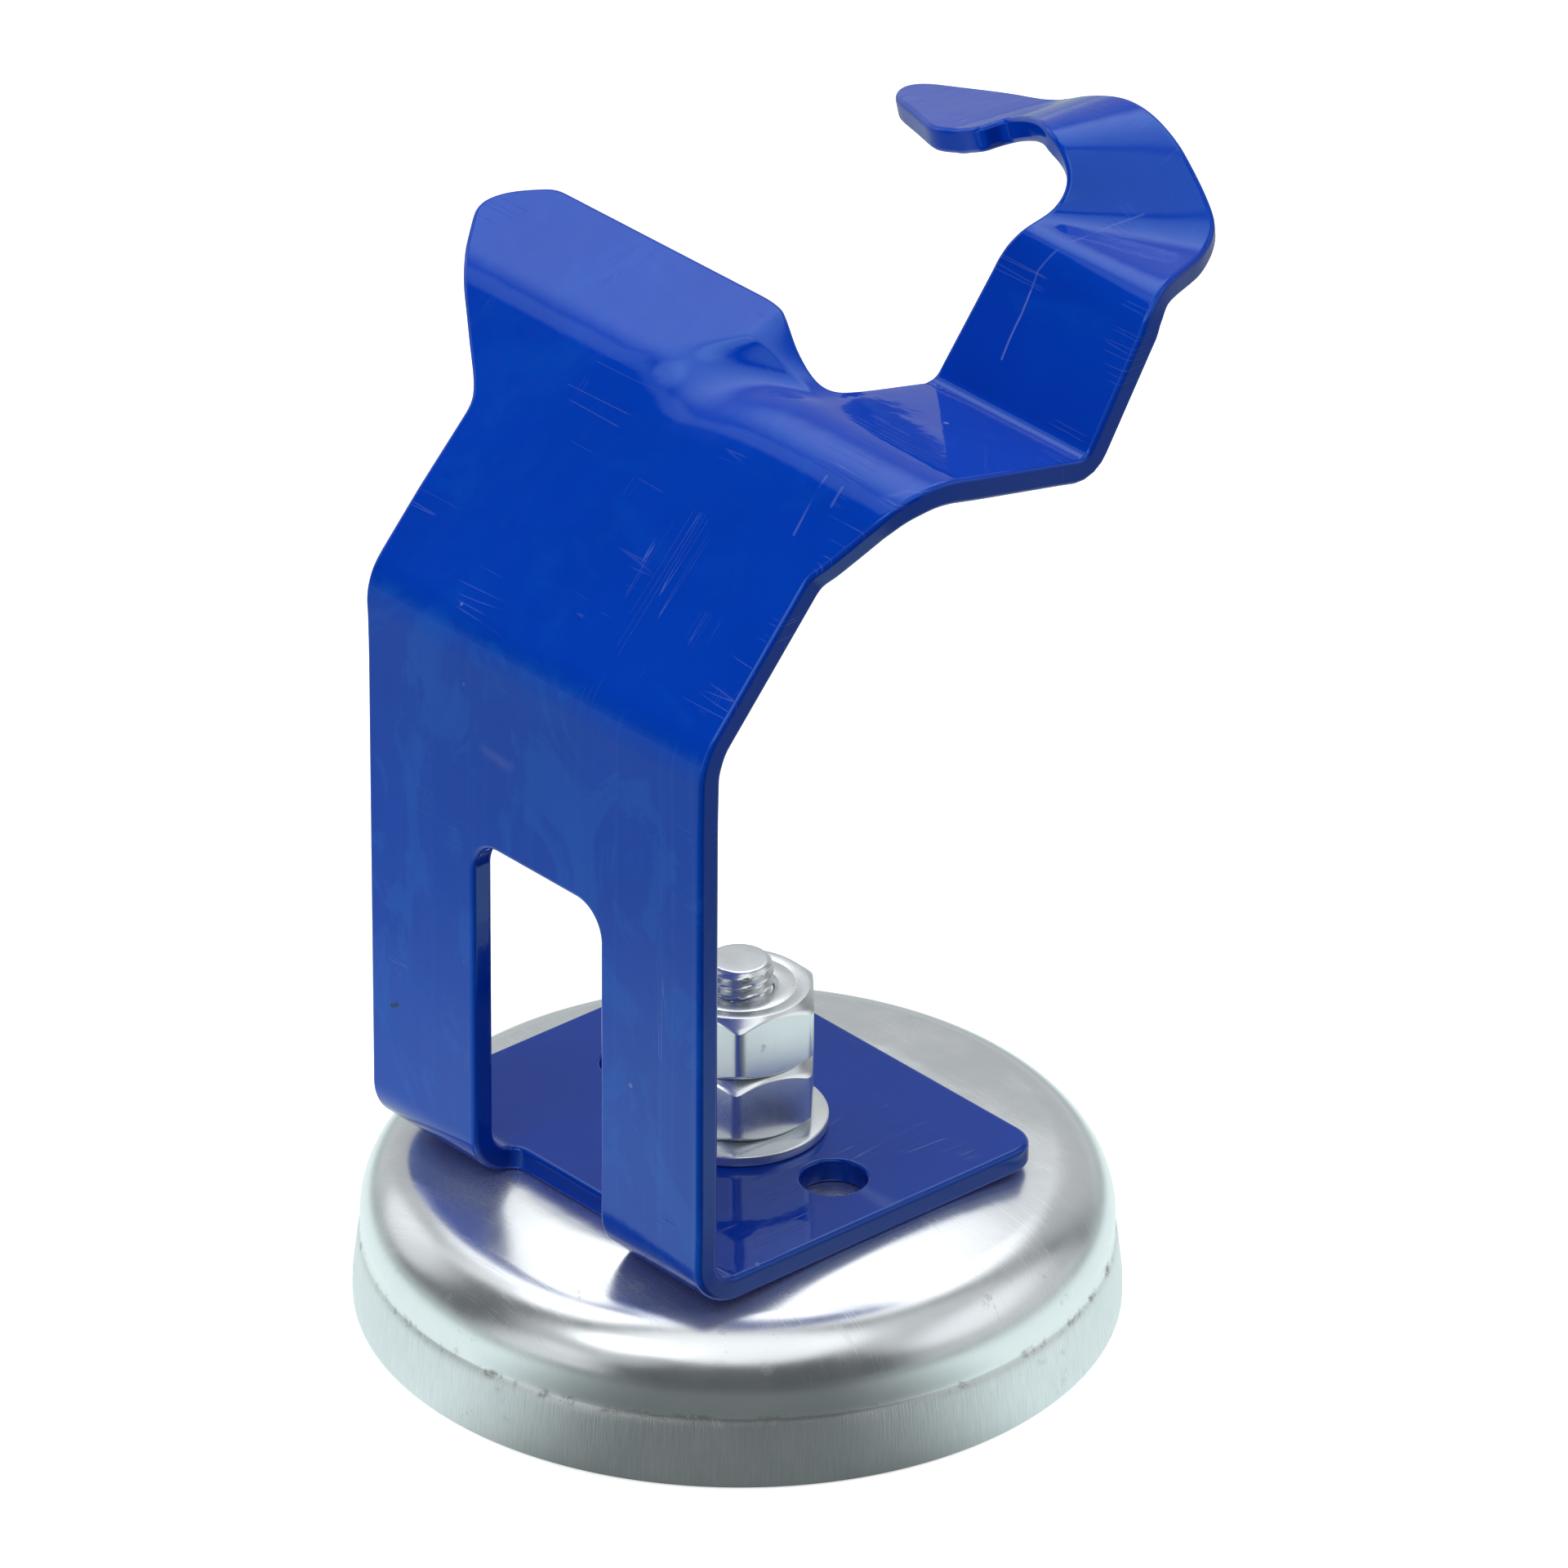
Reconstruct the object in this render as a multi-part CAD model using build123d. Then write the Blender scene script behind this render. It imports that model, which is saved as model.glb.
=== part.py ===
from build123d import *
import math
import os

# Magnetic torch rest: a folded steel holder standing on a round cup magnet.
# +Z is up, with the origin on the cup axis at the working face of the magnet.
# X runs from the wall (-X) to the hook (+X).  Y runs along the folds, with the
# arm on the near side (-Y) and the lip on the far side (+Y).  Millimetres.

# ---------------------------------------------------------------- dimensions
# Cup, pressed from sheet
CUP_RIM_R = 44.0
CUP_RIM_Z = 2.4            # top of the straight rim
CUP_BODY_R = 43.1          # top of the skirt band
CUP_BAND_Z = 8.4
CUP_SHOULDER_R = 8.0       # outside radius of the shoulder arc
CUP_SHOULDER_Z = 10.4      # centre height of that arc
CUP_SHOULDER_DEG = 84.0
CUP_TOP_Z = 19.5           # seat for the holder
CUP_SEAT_R = 27.0          # flat seat, then a shallow fall to the shoulder
CUP_WALL = 1.6
CUP_CEILING_Z = CUP_TOP_Z - CUP_WALL
CUP_RIM_IN_R = CUP_RIM_R - CUP_WALL
CUP_BODY_IN_R = CUP_BODY_R - CUP_WALL
CUP_STEP_Z = 2.2           # inside, where the straight rim ends
CUP_BAND_IN_Z = CUP_BAND_Z - 0.4

# Parts inside the cup
MAGNET_R = 39.0
MAGNET_BORE_R = 15.0
MAGNET_Z0 = 0.6
MAGNET_Z1 = 14.9
RESIN_Z0, RESIN_Z1 = 1.4, 10.0
BUSH_BORE_R = 8.0
BUSH_Z0 = 2.0
FIT_GAP = 0.02             # radial and axial gap between neighbours
RESIN_BAND_GAP = 0.05      # resin to the skirt band

# Stud, nuts and washer (M8, threads left plain)
STUD_R = 3.95
STUD_NECK_R = 3.5
STUD_TOP_Z = 43.2
HEAD_FLATS = 13.0
HEAD_H = 5.3
NUT_FLATS = 17.0
NUT_H = 8.0
BORE_R = 4.02              # nuts, and the stud holes in cup and plate
LOWER_NUT_TURN = 47.0      # deg
UPPER_NUT_TURN = 2.5       # deg, relative to the lower nut
WASHER_R = 10.6
WASHER_BORE_R = 5.25
WASHER_T = 1.4
WASHER_SHIFT = (-0.85, -0.55)   # the loose washer lies off centre

# Folded holder, lower part
T = 3.0                    # sheet thickness
PLATE_TOP_Z = CUP_TOP_Z + T
WALL_X = -29.5             # outer face of the wall
PLATE_X1 = 22.7            # free edge of the base plate
PLATE_CORNER_R = 4.0
Y0, Y1 = -26.6, 29.6       # width
FOLD_Z = 89.9              # where the outer faces of wall and slope would meet
FOLD_R = 8.0               # outside radius of that fold
FOOT_R = 6.2               # outside radius of the foot bend
SLOPE_DEG = 46.0
SLOPE = math.radians(SLOPE_DEG)
SEAM_U = 16.0              # slope length where the upper sheet takes over
WINDOW_Y0, WINDOW_Y1 = -10.0, 11.6
WINDOW_TOP = 64.4
WINDOW_R = 4.0
WINDOW_X1 = -23.3          # the window runs through the foot bend into the plate
SIDE_HOLE_R = 3.8
SIDE_HOLE_X = -0.8
SIDE_HOLE_Y = 17.2

# Lip and trough: slope length to the fold, angle beyond it, fold radius
LIP_FOLD = (36.0, 18.0, 13.0)
TROUGH_DEG = -12.6
TROUGH_FOLD = (38.2, TROUGH_DEG, 11.5)
TROUGH = math.radians(TROUGH_DEG)
TROUGH_END_X = 22.5        # root of the arm
JOIN_X = 18.5              # the arm strip starts here, inside the trough
NEAR_Y = -31.8             # near edge of trough and arm
TROUGH_INNER_Y = -6.5
FAR_Y = 49.4               # just past the widest point of the lip

# Blend from trough to lip: its centre and half width in Y change between
# two distances up the sheet.
BLEND_U0, BLEND_U_LEN = 28.0, 18.0
BLEND_CENTRE_Y, BLEND_CENTRE_SHIFT = 6.0, -7.5
BLEND_HALF, BLEND_HALF_CHANGE = 8.5, -2.0

# Sections of the upper sheet: their Y places, and the distances up the sheet
# shared by all of them between the seam and the free end.
SECTION_Y = [NEAR_Y - 0.6, -18.0, -9.5, TROUGH_INNER_Y, -4.0, -1.5, 1.0,
             3.5, 6.0, 8.5, 11.0, 14.5, FAR_Y]
SECTION_U = [22.0, 27.0, 29.5, 31.5, 33.5, 35.5, 37.5, 39.5, 41.5, 43.5, 45.5, 47.5]
LIP_END_U = 53.5           # beyond the trimmed end of the lip
TRIM_X0 = WALL_X + 9.0     # wall-side end of the trim outline
TRIM_Z0, TRIM_Z1 = 85, 145

# Outline of the upper sheet as (distance up the sheet, y).
NEAR_EDGE = [
    (12.5, -26.1), (23.9, -25.4), (24.9, -26.3), (29.3, -28.2),
    (32.8, -29.4), (37.7, -30.6), (42.1, -31.3), (47.0, -31.8),
]
NOTCH_LIP_FAR_EDGE = [
    (49.4, -6.5), (48.7, -6.35), (48.1, -5.9), (47.8, -5.1), (47.85, -3.7),
    (48.1, -2.6), (48.5, -1.3), (48.9, 0.0), (49.4, 1.2), (50.1, 2.6),
    (50.7, 3.9), (51.2, 5.4), (51.4, 7.4), (51.4, 42.9), (50.9, 44.1),
    (49.1, 46.7), (47.8, 48.1), (46.3, 49.0), (45.1, 49.3), (43.6, 48.9),
    (41.0, 46.8), (38.8, 45.0), (36.8, 43.2), (34.6, 41.2), (31.9, 38.5),
    (28.8, 35.4), (25.0, 31.5), (23.6, 29.6),
]

# Arm and hook: pairs of (x, y, z) on the top face, inner edge then outer edge.
HOOK = [
    ((30.4, -8.2, 124.5), (30.3, -31.8, 124.6)),
    ((31.2, -8.9, 126.6), (31.7, -31.6, 127.0)),
    ((32.1, -9.9, 128.0), (35.3, -30.2, 128.2)),
    ((34.5, -9.4, 128.4), (40.4, -28.0, 128.1)),
    ((36.3, -9.8, 129.1), (45.0, -26.3, 128.2)),
    ((37.4, -10.1, 129.8), (47.8, -24.9, 129.3)),
    ((38.3, -10.2, 130.4), (49.1, -23.4, 130.3)),
    ((39.2, -10.0, 131.4), (49.7, -21.5, 131.4)),
    ((39.9, -9.4, 132.6), (50.4, -18.1, 133.5)),
    ((40.4, -8.6, 133.6), (51.0, -15.0, 135.3)),
    ((40.7, -7.3, 134.8), (51.6, -11.7, 136.5)),
    ((40.9, -5.8, 135.5), (52.5, -7.6, 136.7)),
    ((42.1, -3.2, 135.8), (53.5, -3.0, 135.7)),
    ((46.3, 3.4, 132.6), (54.2, 2.6, 133.3)),
    ((47.4, 7.9, 130.8), (54.3, 7.4, 131.2)),
    ((46.4, 10.4, 129.9), (54.2, 10.8, 129.9)),
    ((44.0, 12.9, 129.0), (54.1, 15.3, 128.7)),
    ((42.6, 14.9, 128.3), (54.3, 20.9, 127.2)),
    ((42.3, 17.3, 127.7), (54.3, 25.1, 126.1)),
    ((44.9, 23.2, 126.3), (53.9, 28.7, 125.2)),
    ((46.7, 26.6, 125.6), (52.6, 30.8, 124.8)),
    ((48.3, 28.9, 125.0), (50.6, 31.4, 124.4)),
]


# ------------------------------------------------------------- shape helpers
def closed_wire(points):
    return Wire([Edge.make_line(p, q) for p, q in zip(points, points[1:] + points[:1])])


def turned(points):
    """Revolve a closed (radius, z) outline about the Z axis."""
    face = Plane.XZ * make_face(closed_wire([(r, z, 0) for r, z in points]))
    return revolve(face, axis=Axis.Z, revolution_arc=360)


def arc_points(centre_r, centre_z, radius, start_deg, end_deg, steps=14):
    angles = [math.radians(start_deg + (end_deg - start_deg) * i / steps)
              for i in range(steps + 1)]
    return [(centre_r + radius * math.cos(angle), centre_z + radius * math.sin(angle))
            for angle in angles]


def rounded_face(corners):
    """Closed polygon of (x, y, corner radius) as a face."""
    joints = []            # arc start, arc middle (None if sharp), arc end
    for i, (x, y, radius) in enumerate(corners):
        tip = Vector(x, y)
        if radius == 0:
            joints.append((tip, None, tip))
            continue
        back = (Vector(*corners[i - 1][:2]) - tip).normalized()
        ahead = (Vector(*corners[(i + 1) % len(corners)][:2]) - tip).normalized()
        half = math.acos(back.dot(ahead)) / 2
        setback = radius / math.tan(half)
        middle = tip + (back + ahead).normalized() * (radius / math.sin(half) - radius)
        joints.append((tip + back * setback, middle, tip + ahead * setback))
    edges = []
    for (start, middle, end), following in zip(joints, joints[1:] + joints[:1]):
        if middle is not None:
            edges.append(ThreePointArc(start, middle, end))
        edges.append(Line(end, following[0]))
    return make_face(Wire(edges))


def upright_prism(corners, z0, z1):
    return Pos(0, 0, z0) * extrude(rounded_face(corners), amount=z1 - z0, dir=(0, 0, 1))


def plate_block(x0, x1, y0, y1, corner_r):
    """Block through the base plate, rounded at its two +X corners."""
    corners = [(x0, y0, 0), (x1, y0, corner_r), (x1, y1, corner_r), (x0, y1, 0)]
    return upright_prism(corners, CUP_TOP_Z - 1, PLATE_TOP_Z + 1)


# ------------------------------------------------------ folded-sheet surface
def clamp(value):
    return min(1.0, max(0.0, value))


def folded_line(u, fold):
    """(x, z) on the top face at sheet distance u, for a slope with one fold."""
    fold_u, end_deg, radius = fold
    end = math.radians(end_deg)
    turn = SLOPE - end
    bend_u = fold_u - radius * math.tan(turn / 2)
    arc = radius * turn
    before = min(u, bend_u)
    angle = SLOPE - min(max(u - bend_u, 0.0), arc) / radius
    beyond = max(u - bend_u - arc, 0.0)
    x = (WALL_X + before * math.cos(SLOPE)
         + radius * (math.sin(SLOPE) - math.sin(angle)) + beyond * math.cos(end))
    z = (FOLD_Z + before * math.sin(SLOPE)
         + radius * (math.cos(angle) - math.cos(SLOPE)) + beyond * math.sin(end))
    return x, z


def lip_share(u, y):
    """0 in the trough, 1 in the lip."""
    k = clamp((u - BLEND_U0) / BLEND_U_LEN)
    centre = BLEND_CENTRE_Y + BLEND_CENTRE_SHIFT * k
    half = BLEND_HALF + BLEND_HALF_CHANGE * k
    t = clamp((y - (centre - half)) / (2 * half))
    return t * t * (3 - 2 * t)


def sheet_point(u, y):
    share = lip_share(u, y)
    lip_x, lip_z = folded_line(u, LIP_FOLD)
    trough_x, trough_z = folded_line(u, TROUGH_FOLD)
    return Vector(trough_x + (lip_x - trough_x) * share, y,
                  trough_z + (lip_z - trough_z) * share)


def upward(v):
    return v if v.Z > 0 else v * -1


def sheet_normal(u, y, step=0.05):
    along_u = sheet_point(u + step, y) - sheet_point(u - step, y)
    along_y = sheet_point(u, y + step) - sheet_point(u, y - step)
    return upward(along_u.cross(along_y).normalized())


def distance_at_x(x, y):
    """Sheet distance at which the surface reaches x, found by bisection."""
    low, high = 48.0, 90.0
    for _ in range(60):
        middle = (low + high) / 2
        if sheet_point(middle, y).X < x:
            low = middle
        else:
            high = middle
    return low


# ----------------------------------------------------------------- the holder
def make_channel():
    """Base plate, wall and the start of the slope."""
    inner_x = WALL_X + T
    inner_fold_z = FOLD_Z - T * math.tan((math.pi / 2 - SLOPE) / 2)
    seam_x = WALL_X + SEAM_U * math.cos(SLOPE)
    seam_z = FOLD_Z + SEAM_U * math.sin(SLOPE)
    section = rounded_face([
        (PLATE_X1, CUP_TOP_Z, 0),
        (PLATE_X1, PLATE_TOP_Z, 0),
        (inner_x, PLATE_TOP_Z, FOOT_R - T),
        (inner_x, inner_fold_z, FOLD_R - T),
        (seam_x + T * math.sin(SLOPE), seam_z - T * math.cos(SLOPE), 0),
        (seam_x, seam_z, 0),
        (WALL_X, FOLD_Z, FOLD_R),
        (WALL_X, CUP_TOP_Z, FOOT_R),
    ])
    channel = extrude(Plane.XZ.offset(-Y1) * section, amount=Y1 - Y0, dir=(0, -1, 0))

    # Round the two free corners of the plate
    block = plate_block(PLATE_X1 - 30, PLATE_X1 + 1, Y0 - 1, Y1 + 1, 0)
    kept = plate_block(PLATE_X1 - 31, PLATE_X1, Y0, Y1, PLATE_CORNER_R)
    channel = channel - (block - kept)

    # Window through wall, foot bend and plate
    start_x = WALL_X - 5
    window = Plane.YZ.offset(start_x) * rounded_face([
        (WINDOW_Y0, -1, 0), (WINDOW_Y1, -1, 0),
        (WINDOW_Y1, WINDOW_TOP, WINDOW_R), (WINDOW_Y0, WINDOW_TOP, WINDOW_R)])
    channel = channel - extrude(window, amount=WINDOW_X1 - start_x, dir=(1, 0, 0))

    # Stud hole, then a hole on each side of it
    for x, y, radius in ((0, 0, BORE_R),
                         (SIDE_HOLE_X, -SIDE_HOLE_Y, SIDE_HOLE_R),
                         (SIDE_HOLE_X, SIDE_HOLE_Y, SIDE_HOLE_R)):
        channel = channel - Pos(x, y, CUP_TOP_Z + T / 2) * Cylinder(radius, T + 4)
    return channel


def make_upper_sheet():
    """Upper slope, lip and trough: ruled strips trimmed to the outline."""
    wires = []
    for y in SECTION_Y:
        in_trough = y <= TROUGH_INNER_Y
        end_u = distance_at_x(JOIN_X, y) if in_trough else LIP_END_U
        last_u = SECTION_U[-1]
        distances = [SEAM_U] + SECTION_U + [last_u + (end_u - last_u) * 0.5, end_u]
        top = [sheet_point(u, y) for u in distances]
        bottom = [p - sheet_normal(u, y) * T for u, p in zip(distances, top)]
        # Keep every section flat in its own Y plane
        bottom = [Vector(p.X, y, p.Z) for p in bottom]
        if in_trough:
            # End square to the trough floor, to meet the arm strip
            bottom[-1] = top[-1] + Vector(T * math.sin(TROUGH), 0, -T * math.cos(TROUGH))
        wires.append(closed_wire(top + bottom[::-1]))
    sheet = Part() + Solid.make_loft(wires, ruled=True)

    outline = [(TRIM_X0, Y0)]
    outline += [(sheet_point(u, y).X, y) for u, y in NEAR_EDGE]
    outline += [(JOIN_X + 1.0, NEAR_Y), (JOIN_X + 1.0, TROUGH_INNER_Y)]
    outline += [(sheet_point(u, y).X, y) for u, y in NOTCH_LIP_FAR_EDGE]
    outline.append((TRIM_X0, Y1))
    return sheet & upright_prism([(x, y, 0) for x, y in outline], TRIM_Z0, TRIM_Z1)


def make_hook():
    """Arm and hook as one ruled strip that starts in the trough floor."""
    floor_x, floor_z = folded_line(60.0, TROUGH_FOLD)   # any point past the fold

    def floor(x):
        return floor_z + (x - floor_x) * math.tan(TROUGH)

    root_z = floor(TROUGH_END_X)
    arm_x, _, arm_z = HOOK[0][0]
    rise = math.atan2(arm_z - root_z, arm_x - TROUGH_END_X)
    floor_normal = Vector(-math.sin(TROUGH), 0, math.cos(TROUGH))
    arm_normal = Vector(-math.sin(rise), 0, math.cos(rise))
    root_normal = (floor_normal + arm_normal).normalized()

    # Root stations: x, inset of the inner edge, z, normal
    flat_x = TROUGH_END_X - 0.9
    root = [
        (JOIN_X, 0, floor(JOIN_X), floor_normal),
        (flat_x, 0, floor(flat_x), floor_normal),
        (TROUGH_END_X - 0.25, 0.2, root_z + 0.3, root_normal),
        (TROUGH_END_X + 0.6 * math.cos(rise), 0.5,
         root_z + 0.6 * math.sin(rise) + 0.4, arm_normal),
    ]
    # Stations: inner point, outer point, normal at each
    stations = [(Vector(x, TROUGH_INNER_Y - inset, z), Vector(x, NEAR_Y, z), normal, normal)
                for x, inset, z, normal in root]
    last = len(HOOK) - 1
    for i, (inner, outer) in enumerate(HOOK):
        before, after = HOOK[max(i - 1, 0)], HOOK[min(i + 1, last)]
        across = Vector(inner) - Vector(outer)
        normals = [upward((Vector(after[k]) - Vector(before[k])).cross(across).normalized())
                   for k in (0, 1)]
        if i == 0:
            normals = [arm_normal, arm_normal]
        if i == last:
            normals = [(normals[0] + normals[1]).normalized()] * 2
        stations.append((Vector(inner), Vector(outer), *normals))

    wires = [closed_wire([inner, outer, outer - outer_normal * T, inner - inner_normal * T])
             for inner, outer, inner_normal, outer_normal in stations]
    return Part() + Solid.make_loft(wires, ruled=True)


def make_bracket():
    joined = make_channel() + make_upper_sheet() + make_hook()
    return max(joined.solids(), key=lambda solid: solid.volume).clean()


# ------------------------------------------------------------------ the magnet
def make_cup():
    shoulder_x = CUP_BODY_R - CUP_SHOULDER_R
    outer = [(CUP_RIM_R, 0), (CUP_RIM_R, CUP_RIM_Z),
             (CUP_BODY_R + 0.25, CUP_BAND_Z - 0.3), (CUP_BODY_R, CUP_BAND_Z)]
    outer += arc_points(shoulder_x, CUP_SHOULDER_Z, CUP_SHOULDER_R, 0, CUP_SHOULDER_DEG)
    outer += [(CUP_SEAT_R, CUP_TOP_Z), (BORE_R, CUP_TOP_Z)]
    inner = [(BORE_R, CUP_CEILING_Z), (CUP_SEAT_R - 0.4, CUP_CEILING_Z)]
    inner += arc_points(shoulder_x, CUP_SHOULDER_Z, CUP_SHOULDER_R - CUP_WALL,
                        CUP_SHOULDER_DEG, 0)
    inner += [(CUP_BODY_IN_R, CUP_BAND_IN_Z), (CUP_RIM_IN_R, CUP_STEP_Z), (CUP_RIM_IN_R, 0)]
    return turned(outer + inner)


def make_ring_magnet():
    small, large = 0.6, 2.4     # chamfers at the working face and inside the cup
    return turned([
        (MAGNET_BORE_R, MAGNET_Z0), (MAGNET_R - small, MAGNET_Z0),
        (MAGNET_R, MAGNET_Z0 + small), (MAGNET_R, MAGNET_Z1 - 2.6),
        (MAGNET_R - large, MAGNET_Z1), (MAGNET_BORE_R, MAGNET_Z1)])


def make_resin():
    """Filling between the ring magnet and the cup skirt."""
    inner_r = MAGNET_R + FIT_GAP
    rim_r = CUP_RIM_IN_R - FIT_GAP
    band_r = CUP_BODY_IN_R - RESIN_BAND_GAP
    return turned([(inner_r, RESIN_Z0), (rim_r, RESIN_Z0), (rim_r, CUP_STEP_Z),
                   (band_r, CUP_BAND_IN_Z), (band_r, RESIN_Z1), (inner_r, RESIN_Z1)])


def make_bush():
    """Spacer round the bolt head."""
    outer_r = MAGNET_BORE_R - FIT_GAP
    top_z = CUP_CEILING_Z - FIT_GAP
    return turned([(BUSH_BORE_R, BUSH_Z0), (outer_r, BUSH_Z0),
                   (outer_r, top_z), (BUSH_BORE_R, top_z)])


# --------------------------------------------------------------- the fasteners
def hex_prism(flats, height, z0, chamfer_size, turn=0.0, both_ends=True):
    """Hexagonal prism with conical corners at the top, or at both ends."""
    body = extrude(RegularPolygon(flats / 2, 6, major_radius=False), amount=height)
    corner_r = flats / 2 / math.cos(math.pi / 6)
    full_r = corner_r + 0.1
    end_r = corner_r - chamfer_size * 1.9
    depth = chamfer_size * 1.1
    bottom = [(end_r, 0), (full_r, depth)] if both_ends else [(full_r, 0)]
    body = body & turned([(0, 0)] + bottom + [(full_r, height - depth), (end_r, height),
                                              (0, height)])
    return Pos(0, 0, z0) * Rot(0, 0, turn) * body


def make_stud():
    """Hex head inside the cup, plain shank up through cup and holder."""
    head_z = CUP_CEILING_Z - HEAD_H
    neck_z = CUP_CEILING_Z - 0.5
    head = hex_prism(HEAD_FLATS, HEAD_H, head_z, 0.7, both_ends=False)
    shank = turned([(0, head_z), (STUD_NECK_R, head_z), (STUD_NECK_R, neck_z),
                    (STUD_R, neck_z), (STUD_R, STUD_TOP_Z - 0.8),
                    (STUD_R - 0.7, STUD_TOP_Z), (0, STUD_TOP_Z)])
    return head + shank


def make_washer():
    top_z = PLATE_TOP_Z + WASHER_T
    washer = turned([
        (WASHER_BORE_R, PLATE_TOP_Z), (WASHER_R - 0.25, PLATE_TOP_Z),
        (WASHER_R, PLATE_TOP_Z + 0.25), (WASHER_R, top_z - 0.3),
        (WASHER_R - 0.3, top_z), (WASHER_BORE_R, top_z)])
    return Pos(*WASHER_SHIFT, 0) * washer


def make_nut(z0, turn):
    z1 = z0 + NUT_H
    flare = 0.5            # countersink at both ends of the bore
    bore = turned([
        (0, z0 - 1), (BORE_R + flare + 1, z0 - 1), (BORE_R + flare, z0), (BORE_R, z0 + flare),
        (BORE_R, z1 - flare), (BORE_R + flare, z1), (BORE_R + flare + 1, z1 + 1), (0, z1 + 1)])
    return hex_prism(NUT_FLATS, NUT_H, z0, 1.0, turn) - bore


# ---------------------------------------------------------------------- export
nut_z = PLATE_TOP_Z + WASHER_T
pieces = {
    "magnet_cup": make_cup(),
    "ring_magnet": make_ring_magnet(),
    "magnet_resin": make_resin(),
    "centre_bush": make_bush(),
    "stud_bolt": make_stud(),
    "bracket": make_bracket(),
    "flat_washer": make_washer(),
    "lower_nut": make_nut(nut_z, LOWER_NUT_TURN),
    "upper_nut": make_nut(nut_z + NUT_H, LOWER_NUT_TURN + UPPER_NUT_TURN),
}

os.makedirs("parts", exist_ok=True)
for name, piece in pieces.items():
    export_step(piece.solids()[0], f"parts/{name}.step")
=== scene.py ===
"""Pot magnet with a blue folded-sheet bracket that ends in a hook.

The magnet's axis is Z and its open face is at z = 0. A stud rises from the cup, with a washer
and two nuts that clamp the bracket's base plate. The bracket's wall stands at -X and folds over
into a slope towards +X. The slope ends in a lip on the +Y side and in a trough, arm and hook on
the -Y side. Shapes are worked out in millimetres and built in metres.
"""
import bpy
import math
from functools import reduce
import numpy as np
from mathutils import Vector, Matrix
from mathutils.geometry import delaunay_2d_cdt


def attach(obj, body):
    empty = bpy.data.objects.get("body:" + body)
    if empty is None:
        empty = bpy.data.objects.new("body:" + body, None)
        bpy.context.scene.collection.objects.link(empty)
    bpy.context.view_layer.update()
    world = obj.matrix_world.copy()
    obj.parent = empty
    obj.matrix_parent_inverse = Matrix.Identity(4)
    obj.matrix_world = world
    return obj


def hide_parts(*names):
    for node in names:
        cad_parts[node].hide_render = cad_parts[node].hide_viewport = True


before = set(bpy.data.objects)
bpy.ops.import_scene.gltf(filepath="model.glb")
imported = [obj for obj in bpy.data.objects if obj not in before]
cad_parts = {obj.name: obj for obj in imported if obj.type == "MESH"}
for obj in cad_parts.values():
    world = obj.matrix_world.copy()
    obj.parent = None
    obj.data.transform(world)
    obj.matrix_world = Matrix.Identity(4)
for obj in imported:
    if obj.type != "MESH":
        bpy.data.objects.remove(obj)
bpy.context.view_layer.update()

MM = 0.001

# ------------------------------------------------------------------ bracket sizes, mm
THICK = 3.0
CUP_TOP = 19.5                  # underside of the base plate
WALL_X, PLATE_END_X = -29.5, 22.7
PLATE_Y0, PLATE_Y1 = -26.6, 29.6
FOLD_Z = 89.9                   # sharp corner of wall and slope
FOLD_R, FOOT_R = 8.0, 6.2
SLOPE = math.radians(46.0)
WINDOW_Y0, WINDOW_Y1 = -10.0, 11.6
WINDOW_X, WINDOW_TOP = -23.3, 64.4
# the two ways the slope levels out: run of the sharp corner, tilt after it, bend radius
LIP = (36.0, math.radians(18.0), 13.0)
TROUGH_RUN, TROUGH_TILT, TROUGH_R = 38.2, math.radians(-12.6), 11.5
ARM_TILT = math.radians(59.6)
ARM_CORNER_X = 22.55            # sharp corner of trough and arm
ARM_R = 1.7
ARM_SIDE_Y = -4.0               # the arm lies below this y
HOOK_LEN = 73.99
RIM_STEPS = 5                   # facets in a rounded edge

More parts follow.
